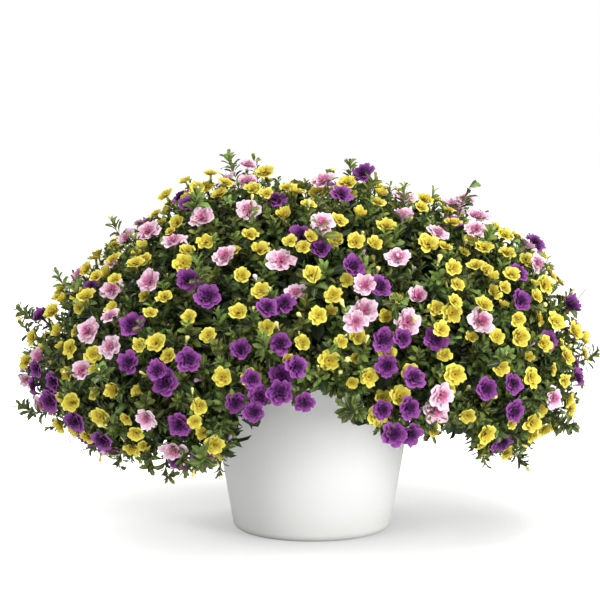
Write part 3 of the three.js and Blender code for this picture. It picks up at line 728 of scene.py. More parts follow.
class ShaderBuilder(TreeBuilder):
    """Builds in a material or a shader node group."""

    def maths(self, operation: str, first: object, second: object = 0.5) -> Socket:
        """The outcome of one sum."""
        return self.node("ShaderNodeMath", {0: first, 1: second}, operation=operation).outputs[0]

    def times(self, first: object, second: object) -> Socket:
        """A product."""
        return self.maths("MULTIPLY", first, second)

    def span(self, value: object, start: float, end: float) -> Socket:
        """How far a value has gone from a start to an end, from 0 to 1."""
        links = {"Value": value, "From Min": start, "From Max": end}
        return self.node("ShaderNodeMapRange", links).outputs[0]

    def blend(self, share: object, first: object, second: object, how: str = "MIX") -> Socket:
        """Blends one colour into another.

        Args:
            share: How much of the second colour there is.
            first: The first colour.
            second: The second colour.
            how: Blender's name for the way to blend.

        Returns:
            The colour.
        """
        made = self.node("ShaderNodeMix", data_type="RGBA", blend_type=how, clamp_result=True)
        for place, value in ((0, share), (6, first), (7, second)):
            self.feed(made.inputs[place], value)
        return made.outputs[2]

    def grain(self, scale: object, detail: float, where: object = None) -> Socket:
        """Cloudy noise.

        Args:
            scale: How fine it is.
            detail: How many finer layers it has.
            where: The coordinates that it lies on, or the object's own.

        Returns:
            The noise.
        """
        spot = where or self.node("ShaderNodeTexCoord").outputs["Object"]
        links = {"Vector": spot, "Scale": scale, "Detail": detail}
        return self.node("ShaderNodeTexNoise", links).outputs["Fac"]

    def uv_parts(self) -> Sockets:
        """The two parts of the piece's own map, and a third that is nothing."""
        spot = self.node("ShaderNodeUVMap", uv_map="UVMap").outputs[0]
        return self.node("ShaderNodeSeparateXYZ", {0: spot}).outputs

    @property
    def skin(self) -> Sockets:
        """The inputs of the material's shader."""
        return self.tree.nodes["Principled BSDF"].inputs

    def bump(self, height: object, strength: float, relief: float) -> None:
        """Raises the material's surface by a height value, up to a relief in metres."""
        links = {"Height": height, "Strength": strength, "Distance": relief}
        self.feed(self.skin["Normal"], self.node("ShaderNodeBump", links).outputs[0])

    def value_of(self, name: str) -> Socket:
        """A named value of the mesh."""
        return self.node("ShaderNodeAttribute", attribute_name=name).outputs["Fac"]


@cache
def tissue_group() -> Tree:
    """Builds living tissue's uneven colour, once: cloudy and warmer patches, and each shape's own tint, which
    for leaves also carries painted shade.

    Returns:
        The shader node group.
    """
    white = (1.0, 1.0, 1.0, 1.0)
    warm_scale, warm_start, warm_end = 0.4, 0.42, 0.60
    tree = bpy.data.node_groups.new("tissue", "ShaderNodeTree")
    for key in ("Colour", "Other Colour", "Warmth"):
        socket = tree.interface.new_socket(key, in_out="INPUT", socket_type="NodeSocketColor")
        socket.default_value = white
    for key in ("Patch Size", "Tint Share", "Cloud Share"):
        tree.interface.new_socket(key, in_out="INPUT", socket_type="NodeSocketFloat")
    tree.interface.new_socket("Colour", in_out="OUTPUT", socket_type="NodeSocketColor")
    tree.interface.new_socket("Cloud", in_out="OUTPUT", socket_type="NodeSocketFloat")
    source = tree.nodes.new("NodeGroupInput").outputs
    target = tree.nodes.new("NodeGroupOutput").inputs
    build = ShaderBuilder(tree)
    cloud = build.grain(source["Patch Size"], 2.0)
    tinted = build.times(build.value_of("tint"), source["Tint Share"])
    clouded = build.times(build.maths("SUBTRACT", cloud), source["Cloud Share"])
    share = build.node("ShaderNodeClamp", {"Value": build.maths("ADD", tinted, clouded)}).outputs[0]
    warm_cloud = build.grain(build.times(source["Patch Size"], warm_scale), 1.0)
    colour = build.blend(share, source["Colour"], source["Other Colour"])
    warm = build.span(warm_cloud, warm_start, warm_end)
    build.feed(target["Colour"], build.blend(warm, colour, source["Warmth"], "MULTIPLY"))
    build.feed(target["Cloud"], cloud)
    return tree


@dataclass(frozen=True)
class Finish:
    """What every finish shares: a named material with one Principled shader, its colour, gloss and relief."""

    name: str
    colour: Colour

    def start(self, roughness: float, gloss: float = 0.5) -> tuple[Material, ShaderBuilder]:
        """Starts the material.

        Args:
            roughness: How rough its skin is.
            gloss: How strongly it mirrors light.

        Returns:
            The material and a builder in it.
        """
        material = bpy.data.materials.new(self.name)
        material.use_nodes = True
        build = ShaderBuilder(material.node_tree)
        build.skin["Roughness"].default_value = roughness
        build.skin["Specular IOR Level"].default_value = gloss
        return material, build


@dataclass(frozen=True)
class LivingFinish(Finish):
    """What leaves, petals and stems share: two colours, and warmer patches."""

    other: Colour

    def flesh(
        self, build: ShaderBuilder, warmth: Colour, patch: float, tint: float, cloud: float
    ) -> Sockets:
        """Places the tissue group with the finish's own values.

        Args:
            build: The material's builder.
            warmth: What the colour is multiplied by in warmer patches.
            patch: How fine the patches are.
            tint: How much each leaf's or bloom's own tint counts.
            cloud: How much the cloudy patches count.

        Returns:
            The group's outputs, a colour and a cloud value.
        """
        links = {
            "Colour": linear(self.colour), "Other Colour": linear(self.other), "Warmth": linear(warmth),
            "Patch Size": patch, "Tint Share": tint, "Cloud Share": cloud,
        }
        return build.node("ShaderNodeGroup", links, node_tree=tissue_group()).outputs


@dataclass(frozen=True)
class LeafFinish(LivingFinish):
    """A soft green leaf, with a paler midrib and underside, a foot darkened by painted shade and fine
    slanting veins.
    """

    rib: Colour
    warmth: Colour = (1.0, 0.83, 0.68)
    rib_edge: Pair = (0.09, 0.02)
    rib_share: float = 0.5
    foot_end: float = 0.5
    foot_share: float = 0.6
    back_share: float = 0.35
    veins_along: float = 9.0
    veins_across: float = -6.0
    vein_height: float = 0.35

    def material(self) -> Material:
        """Builds the material.

        Returns:
            The material.
        """
        material, build = self.start(roughness=0.5, gloss=0.35)
        flesh = self.flesh(build, self.warmth, patch=60.0, tint=1.0, cloud=0.5)
        parts = build.uv_parts()
        aside = build.maths("ABSOLUTE", build.maths("SUBTRACT", parts[0]))
        rib = build.span(aside, *self.rib_edge)
        colour = build.blend(build.times(rib, self.rib_share), flesh[0], linear(self.rib))
        # Painted shade: towards the leaf's foot the colour runs back to its dark colour.
        foot = build.times(build.span(parts[1], self.foot_end, 0.0), self.foot_share)
        colour = build.blend(foot, colour, linear(self.colour))
        back = build.node("ShaderNodeNewGeometry").outputs["Backfacing"]
        pale = build.blend(build.times(back, self.back_share), colour, linear(self.rib))
        build.feed(build.skin["Base Color"], pale)
        along = build.times(parts[1], self.veins_along)
        slant = build.maths("ADD", along, build.times(aside, self.veins_across))
        veins = build.maths("ABSOLUTE", build.maths("SINE", build.times(slant, math.pi)))
        height = build.maths("SUBTRACT", build.times(veins, self.vein_height), rib)
        build.bump(height, strength=0.35, relief=0.4 * MM)
        return material


@dataclass(frozen=True)
class PetalFinish(LivingFinish):
    """A soft petal: deep in the throat, paler at the rim, with fine rays, creases and a paler back.

    The back runs into the colour of the bloom's tube, and the heart is the innermost whorls' colour.
    """

    throat: Colour
    rim: Colour
    heart: Colour
    back: Colour
    tube: Colour
    rays: float
    warmth: Colour
    throat_end: float = 0.45
    throat_deep: float = 0.2
    rim_start: float = 0.55
    rim_share: float = 0.85
    broad_rays: int = 3
    fine_rays: int = 8
    ray_edge: Pair = (0.25, 0.9)
    ray_fade: Pair = (1.05, 0.3)
    tube_end: float = 0.24
    back_share: float = 0.35
    crease: float = 0.14

    def rays_shown(self, build: ShaderBuilder, parts: Sockets) -> tuple[Socket, Socket]:
        """Draws the rays that run out from the throat.

        Args:
            build: The material's builder.
            parts: The two parts of the bloom's map.

        Returns:
            How much of the throat's colour shows, and the finest rays' wave.
        """
        broad = build.maths("SINE", build.times(parts[0], TURN * self.broad_rays))
        fine = build.maths("SINE", build.times(parts[0], TURN * self.fine_rays))
        both = build.maths("ADD", build.times(build.maths("ADD", broad, fine), 0.25), 0.5)
        ray = build.times(build.span(both, *self.ray_edge), self.rays)
        return build.times(ray, build.span(parts[1], *self.ray_fade)), fine

    def material(self) -> Material:
        """Builds the material.

        Returns:
            The material.
        """
        material, build = self.start(roughness=0.6, gloss=0.22)
        flesh = self.flesh(build, self.warmth, patch=240.0, tint=0.8, cloud=1.1)
        parts = build.uv_parts()
        rim = build.span(parts[1], self.rim_start, 1.0)
        colour = build.blend(build.times(rim, self.rim_share), flesh[0], linear(self.rim))
        colour = build.blend(build.value_of("heart"), colour, linear(self.heart))
        ray, fine = self.rays_shown(build, parts)
        colour = build.blend(ray, colour, linear(self.throat))
        throat = build.span(parts[1], self.throat_end, self.throat_deep)
        colour = build.blend(throat, colour, linear(self.throat))
        under = build.blend(build.span(parts[1], self.tube_end, 0.0), linear(self.back), linear(self.tube))
        under = build.blend(self.back_share, under, flesh[0])
        behind = build.node("ShaderNodeNewGeometry").outputs["Backfacing"]
        build.feed(build.skin["Base Color"], build.blend(behind, colour, under))
        build.skin["Sheen Weight"].default_value = 0.08
        crinkle = build.maths("ADD", flesh[1], build.times(fine, self.crease))
        build.bump(crinkle, strength=0.8, relief=1.2 * MM)
        return material


@dataclass(frozen=True)
class StemFinish(LivingFinish):
    """A thin green stem, browner where it is old."""

    warmth: Colour = (1.0, 0.88, 0.80)

    def material(self) -> Material:
        """Builds the material.

        Returns:
            The material.
        """
        material, build = self.start(roughness=0.6)
        flesh = self.flesh(build, self.warmth, patch=35.0, tint=0.4, cloud=0.5)
        build.feed(build.skin["Base Color"], flesh[0])
        build.bump(build.grain(900.0, 3.0), strength=0.3, relief=0.3 * MM)
        return material


@dataclass(frozen=True)
class TubFinish(Finish):
    """Moulded white plastic with a satin, slightly pitted skin and a faint dusting low down."""

    dust: Colour
    dust_top: float = 0.035
    dust_share: float = 0.22
    smoothest: float = 0.38
    roughest: float = 0.5

    def material(self) -> Material:
        """Builds the material.

        Returns:
            The material.
        """
        material, build = self.start(self.smoothest)
        place = build.node("ShaderNodeTexCoord").outputs["Object"]
        height = build.node("ShaderNodeSeparateXYZ", {0: place}).outputs[2]
        low = build.span(height, self.dust_top, 0.0)
        cloud = build.grain(26.0, 4.0, place)
        dusty = build.times(build.times(low, cloud), self.dust_share)
        colour = build.blend(dusty, linear(self.colour), linear(self.dust))
        build.feed(build.skin["Base Color"], colour)
        links = {"Value": cloud, "To Min": self.smoothest, "To Max": self.roughest}
        build.feed(build.skin["Roughness"], build.node("ShaderNodeMapRange", links).outputs[0])
        build.bump(build.grain(1400.0, 2.0, place), strength=0.06, relief=0.2 * MM)
        return material


@dataclass(frozen=True)
class SoilFinish(Finish):
    """Dark potting mix: peat fibres, bark crumbs and a few pale grains."""

    fibre: Colour
    grain: Colour
    grain_edge: Pair = (0.16, 0.1)
    grain_rarity: float = 0.6

    def material(self) -> Material:
        """Builds the material.

        Returns:
            The material.
        """
        material, build = self.start(roughness=0.95)
        fibres = build.grain(220.0, 6.0)
        colour = build.blend(fibres, linear(self.colour), linear(self.fibre))
        crumbs = build.node("ShaderNodeTexVoronoi", {"Scale": 160.0})
        pale = build.span(crumbs.outputs["Distance"], *self.grain_edge)
        few = build.maths("GREATER_THAN", build.grain(45.0, 1.0), self.grain_rarity)
        colour = build.blend(build.times(pale, few), colour, linear(self.grain))
        build.feed(build.skin["Base Color"], colour)
        build.bump(fibres, strength=0.9, relief=2 * MM)
        return material


@dataclass(frozen=True)
class FloorFinish(Finish):
    """A plain pale studio floor, with painted shade round the tub.

    Its base colour darkens near the tub, a painted contact shadow. It glows for the eye alone, more so
    further out, and so runs into the backdrop; the weaker glow near the tub paints a soft shade, an oval that
    reaches further behind the tub than in front of it. Lengths are in metres, and worn is a linear colour.
    """

    worn: Colour
    shaded: Colour
    shade: Pair = (0.10, 0.18)
    glow: Pair = (0.38, 0.95)
    glow_span: Pair = (0.13, 0.58)
    glow_behind: float = 0.10
    glow_squeeze: float = 0.92
    least_even: float = 0.985

    def glow_shown(self, build: ShaderBuilder, place: Socket) -> Socket:
        """Makes the glow, weaker near the tub, where it paints a soft shade.

        Args:
            build: The material's builder.
            place: The floor's coordinates.

        Returns:
            How strongly each spot glows.
        """
        moved = {
            "Vector": place, "Location": (0.0, -self.glow_behind, 0.0),
            "Scale": (self.glow_squeeze, 1.0, 1.0),
        }
        oval = build.node("ShaderNodeMapping", moved).outputs[0]
        away = build.node("ShaderNodeVectorMath", {0: oval}, operation="LENGTH").outputs["Value"]
        links = {
            "Value": away, "From Min": self.glow_span[0], "From Max": self.glow_span[1],
            "To Min": self.glow[0], "To Max": self.glow[1],
        }
        glow = build.node("ShaderNodeMapRange", links, interpolation_type="SMOOTHSTEP").outputs[0]
        looked_at = build.node("ShaderNodeLightPath").outputs["Is Camera Ray"]
        return build.times(glow, looked_at)

    def material(self) -> Material:
        """Builds the material.

        Returns:
            The material.
        """
        material, build = self.start(roughness=0.9, gloss=0.0)
        links = {"Value": build.grain(3.0, 2.0), "To Min": self.least_even, "To Max": 1.0}
        even = build.node("ShaderNodeMapRange", links).outputs[0]
        colour = build.blend(even, (*self.worn, 1.0), linear(self.colour))
        place = build.node("ShaderNodeTexCoord").outputs["Object"]
        away = build.node("ShaderNodeVectorMath", {0: place}, operation="LENGTH").outputs["Value"]
        # Painted contact shadow: near the tub the base colour runs to the painted shade colour.
        colour = build.blend(build.span(away, *self.shade), linear(self.shaded), colour)
        build.feed(build.skin["Base Color"], colour)
        # The glow is weaker near the tub, which paints a soft shade seen by the eye alone.
        build.feed(build.skin["Emission Color"], self.glow_shown(build, place))
        build.skin["Emission Strength"].default_value = 1.0
        return material


# A leaf finish's colour is its dark end, reached partly at random and partly through painted shade at the
# leaves' feet, deep in the mound and low in the skirt; other is its light end.
GREEN_LEAF = LeafFinish(
    "green_leaf", colour=(0.028, 0.095, 0.033), other=(0.54, 0.69, 0.29), rib=(0.62, 0.69, 0.42)
)
# The inner leaves are dark partly because they are older and partly as painted shade that makes the gaps in
# the mound near-black.
OLD_AND_SHADED_LEAF = LeafFinish(
    "old_leaf", colour=(0.03, 0.08, 0.035), other=(0.15, 0.23, 0.10), rib=(0.27, 0.35, 0.17)
)
CALYX_GREEN = LeafFinish(
    "calyx_green", colour=(0.38, 0.47, 0.17), other=(0.50, 0.57, 0.24), rib=(0.62, 0.68, 0.38)
)
STEM_GREEN = StemFinish("stem_green", colour=(0.36, 0.43, 0.19), other=(0.47, 0.46, 0.24))
STEM_OLD = StemFinish("stem_old", colour=(0.27, 0.30, 0.15), other=(0.36, 0.31, 0.19))
WHITE_TUB = TubFinish("white_tub", colour=(0.945, 0.945, 0.94), dust=(0.72, 0.68, 0.60))
POTTING_SOIL = SoilFinish(
    "potting_soil", colour=(0.13, 0.09, 0.06), fibre=(0.30, 0.21, 0.14), grain=(0.85, 0.83, 0.78)
)
# Its shaded colour is a painted contact shadow near the tub.
PALE_FLOOR = FloorFinish(
    "pale_floor", colour=(0.99, 0.99, 0.99), worn=(0.9, 0.9, 0.9), shaded=(0.76, 0.76, 0.765)
)


# ---- Blooms ----


class BloomKind(Enum):
    """The three kinds of double bloom."""

    YELLOW = "yellow"
    PURPLE = "purple"
    PINK = "pink"


@dataclass(frozen=True)
class Whorl:
    """One ruffled ring of joined petals, in shares of the bloom's radius.

    A whorl runs from its throat, at a radius and height, to its rim. The rim is notched between the
    petals and waves up and down, and heart says how far in the bloom the whorl stands.
    """

    throat: float
    rim: float
    base: float
    rise: float
    ruffle: float
    waves: int
    notch: float
    crumple: float
    around: int
    rings: int
    heart: float
    tube: float = 0.0
    tube_foot: float = 0.06
    lobe_power: float = 0.5
    longer: float = 0.24
    higher: float = 0.22
    rise_power: float = 1.4
    ruffle_power: float = 1.5
    crumple_rise: float = 4.0
    throat_at: float = 0.25
    variant_draws: int = 97
    petal_draws: int = 8
    cell_draws: int = 400

    def build(self, variant: int, lobes: int) -> tuple[Array, Faces, Array, Array]:
        """Builds the whorl.

        Args:
            variant: Which of the bloom's variants it belongs to, which turns and crumples it.
            lobes: How many petals it has.

        Returns:
            Its points, its faces, a map value pair for each face corner and the points' heart values.
        """
        number = variant * self.variant_draws + int(self.rim * 100)
        phase = TURN * float(draw(number, Use.PHASE))
        turns = TURN * np.arange(self.around) / self.around
        grid_turn, grid_step = np.meshgrid(turns, np.arange(self.rings + 1) / self.rings)
        lobe = np.abs(np.cos(lobes * grid_turn / 2)) ** self.lobe_power
        petal = np.round(grid_turn * lobes / TURN).astype(int) % lobes + number * self.petal_draws
        turns, grid_turn = turns + phase, grid_turn + phase
        longer = 1 + self.longer * lean(petal, Use.POLAR)
        higher = self.higher * lean(petal, Use.SINK)
        cells = np.arange(grid_turn.size) + number * self.cell_draws
        crumple = self.crumple * lean(cells, Use.SIZE).reshape(grid_turn.shape)
        width = (self.rim - self.throat) * grid_step * (1 - self.notch * (1 - lobe) * grid_step)
        width = width * (1 + (longer - 1) * grid_step)
        flat = self.throat + width * (1 + crumple * grid_step)
        wave = np.sin(self.waves * grid_turn + phase * 3) + self.crumple_rise * crumple
        height = self.base + (self.rise + higher * lobe * self.rim) * grid_step**self.rise_power
        height = height + self.ruffle * wave * grid_step**self.ruffle_power
        out = self.throat_at + (1 - self.throat_at) * grid_step
        if self.tube:
            flat = np.vstack((np.full(self.around, self.tube_foot), flat))
            height = np.vstack((np.full(self.around, -self.tube), height))
            grid_turn = np.vstack((turns, grid_turn))
            out = np.vstack((np.zeros(self.around), out))
        points = np.stack((flat * np.cos(grid_turn), flat * np.sin(grid_turn), height), -1)
        faces, corners = self.joined(out, lobes)
        return points.reshape(-1, 3), faces, corners, np.full(flat.size, self.heart)

    @staticmethod
    def joined(out: Array, lobes: int) -> tuple[Faces, Array]:
        """Joins the whorl's rings of points.

        Args:
            out: How far out on the map each point of each ring lies.
            lobes: How far the map goes round.

        Returns:
            The faces and a map value pair for each of their corners.
        """
        rows, count = out.shape
        faces, corners = [], []
        for row in range(rows - 1):
            low, high = row * count, (row + 1) * count
            inner, outer = out[row, 0], out[row + 1, 0]
            for cell in range(count):
                following = (cell + 1) % count
                faces.append((low + cell, high + cell, high + following, low + following))
                left, right = lobes * cell / count, lobes * (cell + 1) / count
                corners.extend(((left, inner), (left, outer), (right, outer), (right, inner)))
        return faces, np.array(corners)


@dataclass(frozen=True)
class BloomShape:
    """A double bloom: its whorls from the outermost in, for a bloom of radius 1 that faces +Z."""

    whorls: tuple[Whorl, ...]
    lobes: int = 5
    variants: int = 8
    half_shut: float = 0.45
    odd_shut: float = 0.12
    shut_power: float = 1.5
    shut_inward: float = 0.55
    tilt: float = 0.10
    whorl_draws: int = 5
    tilt_draws: int = 7

    def meshes(self) -> list[Mesh]:
        """Builds the bloom's variants, the odd ones slightly shut and the last one half open."""
        return [self.variant(number) for number in range(self.variants)]

    def variant(self, number: int) -> Mesh:
        """Builds one variant.

        Args:
            number: The variant's number, which turns, tilts, crumples and shuts its whorls.

        Returns:
            The mesh.
        """
        points, faces, corners, hearts = [], [], [], []
        shut = self.half_shut if number == self.variants - 1 else self.odd_shut * (number % 2)
        for level, whorl in enumerate(self.whorls):
            places, own_faces, own_corners, heart = whorl.build(number * self.whorl_draws + level, self.lobes)
            flat = np.hypot(places[:, 0], places[:, 1])
            places[:, 2] += shut * flat**self.shut_power
            places[:, :2] *= (1 - shut * self.shut_inward * np.clip(flat, 0, 1))[:, None]
            tilted = number * self.tilt_draws + level
            right, back = (self.tilt * lean(tilted, use) for use in (Use.LEAN_ONE, Use.LEAN_TWO))
            places[:, 2] += places[:, 0] * right + places[:, 1] * back
            start = sum(len(block) for block in points)
            points.append(places)
            faces.extend(tuple(start + corner for corner in face) for face in own_faces)
            corners.append(own_corners)
            hearts.append(heart)
        mesh = plain_mesh(np.concatenate(points), faces, np.concatenate(corners))
        give_values(mesh, "heart", np.concatenate(hearts))
        return mesh


SMALL_BLOOM = BloomShape((
    Whorl(0.15, 1.00, -0.12, 0.20, 0.075, waves=6, notch=0.22, crumple=0.16,
          around=30, rings=2, heart=0.0, tube=1.15),
    Whorl(0.15, 0.70, -0.03, 0.28, 0.090, waves=7, notch=0.40, crumple=0.28,
          around=20, rings=2, heart=0.35),
    Whorl(0.05, 0.36, -0.02, 0.24, 0.100, waves=3, notch=0.35, crumple=0.45,
          around=10, rings=1, heart=0.8),
))
LARGE_BLOOM = BloomShape((
    Whorl(0.13, 1.00, -0.10, 0.12, 0.065, waves=9, notch=0.26, crumple=0.18,
          around=40, rings=3, heart=0.0, tube=1.0),
    Whorl(0.12, 0.78, -0.05, 0.18, 0.090, waves=7, notch=0.40, crumple=0.28,
          around=30, rings=2, heart=0.15),
    Whorl(0.10, 0.50, -0.02, 0.26, 0.110, waves=8, notch=0.50, crumple=0.38,
          around=20, rings=2, heart=0.55),
    Whorl(0.02, 0.28, 0.00, 0.26, 0.120, waves=4, notch=0.45, crumple=0.45,
          around=12, rings=2, heart=1.0),
))


@dataclass(frozen=True)
class BloomHabit:
    """How one kind of bloom grows and looks."""

    radius: float
    spread: float
    trusses: int
    rim_share: float
    shape: BloomShape
    finish: PetalFinish


HABITS = {
    BloomKind.YELLOW: BloomHabit(
        radius=13.0 * MM, spread=1.9 * MM, trusses=25, rim_share=0.93, shape=SMALL_BLOOM,
        finish=PetalFinish(
            "yellow_petal", colour=(0.96, 0.93, 0.32), other=(0.79, 0.72, 0.18), warmth=(1.0, 0.93, 0.86),
            throat=(0.48, 0.35, 0.06), rim=(0.97, 0.95, 0.45), heart=(0.83, 0.71, 0.16),
            back=(0.89, 0.84, 0.42), tube=(0.60, 0.64, 0.30), rays=0.22, throat_end=0.44,
        ),
    ),
    BloomKind.PURPLE: BloomHabit(
        radius=16.6 * MM, spread=1.8 * MM, trusses=10, rim_share=0.94, shape=LARGE_BLOOM,
        finish=PetalFinish(
            "purple_petal", colour=(0.43, 0.08, 0.48), other=(0.22, 0.02, 0.26), warmth=(1.0, 0.95, 0.82),
            throat=(0.05, 0.00, 0.07), rim=(0.67, 0.35, 0.70), heart=(0.32, 0.05, 0.37),
            back=(0.42, 0.20, 0.47), tube=(0.32, 0.20, 0.30), rays=0.55,
        ),
    ),
    BloomKind.PINK: BloomHabit(
        radius=16.2 * MM, spread=1.8 * MM, trusses=9, rim_share=1.02, shape=LARGE_BLOOM,
        finish=PetalFinish(
            "pink_petal", colour=(0.96, 0.73, 0.86), other=(0.96, 0.89, 0.93), warmth=(1.0, 0.94, 0.93),
            throat=(0.74, 0.14, 0.40), rim=(0.99, 0.92, 0.96), heart=(0.91, 0.52, 0.71),
            back=(0.88, 0.72, 0.81), tube=(0.66, 0.60, 0.44), rays=0.68,
        ),
    ),
}


@dataclass(frozen=True)
class Patch:
    """A patch of the mound where blooms of one kind crowd together, or one more stands.

    It lies some degrees round from the front and down from the top, and is some degrees across.
    """

    turn: float
    polar: float
    blooms: int = 1
    across: float = 0.0


PATCHES = {
    BloomKind.YELLOW: (
        Patch(45, 67, 11, 26), Patch(-68, 34, 5, 18), Patch(-22, 30, 2, 9), Patch(-59, 66, 5, 14),
        Patch(-3, 52, 3, 7), Patch(29, 76), Patch(148, 52, 4, 12), Patch(-120, 60, 3, 10),
    ),
    BloomKind.PINK: (
        Patch(3, 46), Patch(-49, 75), Patch(20, 10), Patch(62, 62, 2, 24), Patch(26, 86, 2, 18),
        Patch(9, 70, 2, 14), Patch(-76, 18), Patch(95, 43), Patch(165, 50, 2, 20), Patch(-140, 66),
    ),
    BloomKind.PURPLE: (
        Patch(73, 15), Patch(13, 34), Patch(62, 29), Patch(88, 61), Patch(-28, 65), Patch(19, 76, 3, 8),
        Patch(-7, 86, 6, 18), Patch(20, 90, 6, 18), Patch(59, 95), Patch(-68, 88), Patch(-11, 70),
        Patch(-33, 85), Patch(160, 74, 2, 9), Patch(-150, 88),
    ),
}


@dataclass
class Candidates:
    """Blooms that may be added: their numbers, kinds, angles, shares of their kind's size and depths.

    Closeness is how near they may stand, in shares of both radii, and half_open the share half open.
    """

    index: Array
    kinds: Array
    polar: Array
    azimuth: Array
    sizes: Array
    depth: Array
    closeness: float
    half_open: float


@dataclass
class BloomField:
    """Where every bloom stands on the mound, as its solids do."""

    mound: Mound
    places: int = 410
    jitter: float = 15 * MM
    sink: float = 7 * MM
    lean: float = 0.5
    lift: float = 0.22
    clear: float = 1.2 * MM
    lip_margin: float = 0.03
    own_lean: float = 0.5
    to_light: float = 0.35
    light_band: Pair = (-0.5, 0.4)
    low_band: Pair = (math.radians(55), math.radians(95))
    colour_waves: Triple = (3.0, 5.0, 0.4)
    purple_shares: Triple = (0.13, 0.25, 0.14)
    pink_shares: Pair = (0.22, 0.04)
    yellow_shares: Triple = (0.50, 0.16, 0.12)
    late_places: int = 370
    late_first: int = 5000
    late_turn: float = 1.1
    late_jitter: Pair = (0.06, 0.2)
    late_overlap: float = 0.74
    late_depth: float = 20 * MM
    late_yellow: float = 0.66
    late_sizes: Pair = (0.66, 0.95)
    late_lean: float = 1.1
    late_half_open: float = 0.3
    patch_first: int = 7000
    patch_out: float = 15 * MM
    patch_out_shares: Pair = (0.4, 0.6)
    patch_sizes: Pair = (0.78, 1.08)
    patch_overlap: float = 0.55

    def kinds(self, index: Array, polar: Array, azimuth: Array) -> Array:
        """Draws each bloom's kind: purple thickens low in front and in patches, yellow on the right.

        Args:
            index: The blooms' numbers.
            polar: Angles down from the top.
            azimuth: Angles round the axis.

        Returns:
            The names of their kinds.
        """
        low = smoothstep(polar, *self.low_band)
        front = np.maximum(0, -np.sin(azimuth))
        right = np.maximum(0, np.cos(azimuth))
        round_waves, down_waves, start = self.colour_waves
        patch = 0.5 + 0.5 * np.sin(round_waves * azimuth + down_waves * polar + start)
        plain, in_front, in_patches = self.purple_shares
        purple = plain + in_front * low * front + in_patches * patch
        pink = self.pink_shares[0] - self.pink_shares[1] * low
        plain, on_right, off_patches = self.yellow_shares
        yellow = plain + on_right * right + off_patches * (1 - patch)
        pick = draw(index, Use.KIND) * (purple + pink + yellow)
        names = np.array([BloomKind.PURPLE.value, BloomKind.PINK.value, BloomKind.YELLOW.value])
        return names[(pick >= purple).astype(int) + (pick >= purple + pink)]

    def grow(self) -> None:
        """Places the blooms, and leaves out any that would crowd an earlier one."""
        index = np.arange(self.places)
        even = self.mound.even_polars(self.places)
        away = self.mound.reach(even, MEAN_AZIMUTH)
        polar = even + lean(index, Use.POLAR) * self.jitter / away
        azimuth = index * GOLDEN_ANGLE + lean(index, Use.AZIMUTH) * self.jitter / (away * np.sin(even))
        kinds = self.kinds(index, polar, azimuth)
        radius = np.array([HABITS[BloomKind(kind)].radius for kind in kinds])
        spread = np.array([HABITS[BloomKind(kind)].spread for kind in kinds])
        radius = radius + lean(index, Use.SIZE) * 2 * spread
        outward = self.mound.outward(polar, azimuth)
        first, second = cross_frame(outward)
        facing = outward + self.lift * UP
        facing = facing + first * lean(index, Use.LEAN_ONE)[:, None] * self.lean
        facing = unit(facing + second * lean(index, Use.LEAN_TWO)[:, None] * self.lean)
        sunk = self.sink * draw(index, Use.SINK)
        centre = self.mound.point(polar, azimuth) - outward * sunk[:, None]
        kept: list[int] = []
        for number in index[polar <= self.mound.lip_polar(azimuth) - self.lip_margin]:
            gaps = np.linalg.norm(centre[kept] - centre[number], axis=1)
            if not np.any(gaps < radius[kept] + radius[number] + self.clear):
                kept.append(int(number))
        facing = facing + self.light_pull(outward)
        facing = facing + first * lean(index, Use.TURN_ONE)[:, None] * self.own_lean
        facing = unit(facing + second * lean(index, Use.TURN_TWO)[:, None] * self.own_lean)
        shape = np.floor(draw(index, Use.SHAPE) * SMALL_BLOOM.variants)
        self.kind = kinds[kept]
        self.points = self.turned(index, centre, facing, radius, shape).pick(kept)
        self.polar, self.azimuth = polar[kept], azimuth[kept]
        self.grow_late()

    @staticmethod
    def turned(index: Array, centre: Array, facing: Array, radius: Array, shape: Array) -> Points:
        """Gives each bloom a turn of its own.

        Args:
            index: The blooms' numbers.
            centre: Their middles.
            facing: The ways they face.
            radius: Their radii.
            shape: Which of the shapes each has.

        Returns:
            Their places.
        """
        turned, aside = cross_frame(facing)
        phase = (draw(index, Use.PHASE) * TURN)[:, None]
        along = turned * np.cos(phase) + aside * np.sin(phase)
        return Points(centre, facing, along, radius, shape, draw(index, Use.FRESH))

    def light_pull(self, outward: Array) -> Array:
        """How the blooms that can see the light turn to it, as a direction to add."""
        return LIGHT_SIDE * smoothstep(-outward[:, 1], *self.light_band)[:, None] * self.to_light

    def crowded(self) -> Candidates:
        """Sets the blooms of the crowded patches, on a small spiral in each.

        Returns:
            The blooms.
        """
        owners = [(kind, patch) for kind, patches in PATCHES.items() for patch in patches]
        owners = [owner for owner in owners for _ in range(owner[1].blooms)]
        kinds = np.array([kind.value for kind, _ in owners])
        step = np.concatenate([np.arange(patch.blooms) for patches in PATCHES.values() for patch in patches])
        turn, polar, blooms, across = np.array([list(vars(patch).values()) for _, patch in owners]).T
        away = across / 2 * np.sqrt((step + 0.5) / blooms)
        way = step * GOLDEN_ANGLE + np.radians(turn)
        polar = np.radians(polar + away * np.cos(way))
        azimuth = np.radians(turn + FRONT + away * np.sin(way) / np.sin(polar))
        polar = np.minimum(polar, self.mound.lip_polar(azimuth))
        index = np.arange(len(kinds)) + self.patch_first
        low, high = self.patch_sizes
        sizes = low + (high - low) * draw(index, Use.LATE_SIZE)
        least, more = self.patch_out_shares
        depth = -self.patch_out * (least + more * draw(index, Use.LATE_DEPTH))
        return Candidates(index, kinds, polar, azimuth, sizes, depth, self.patch_overlap, 0.0)

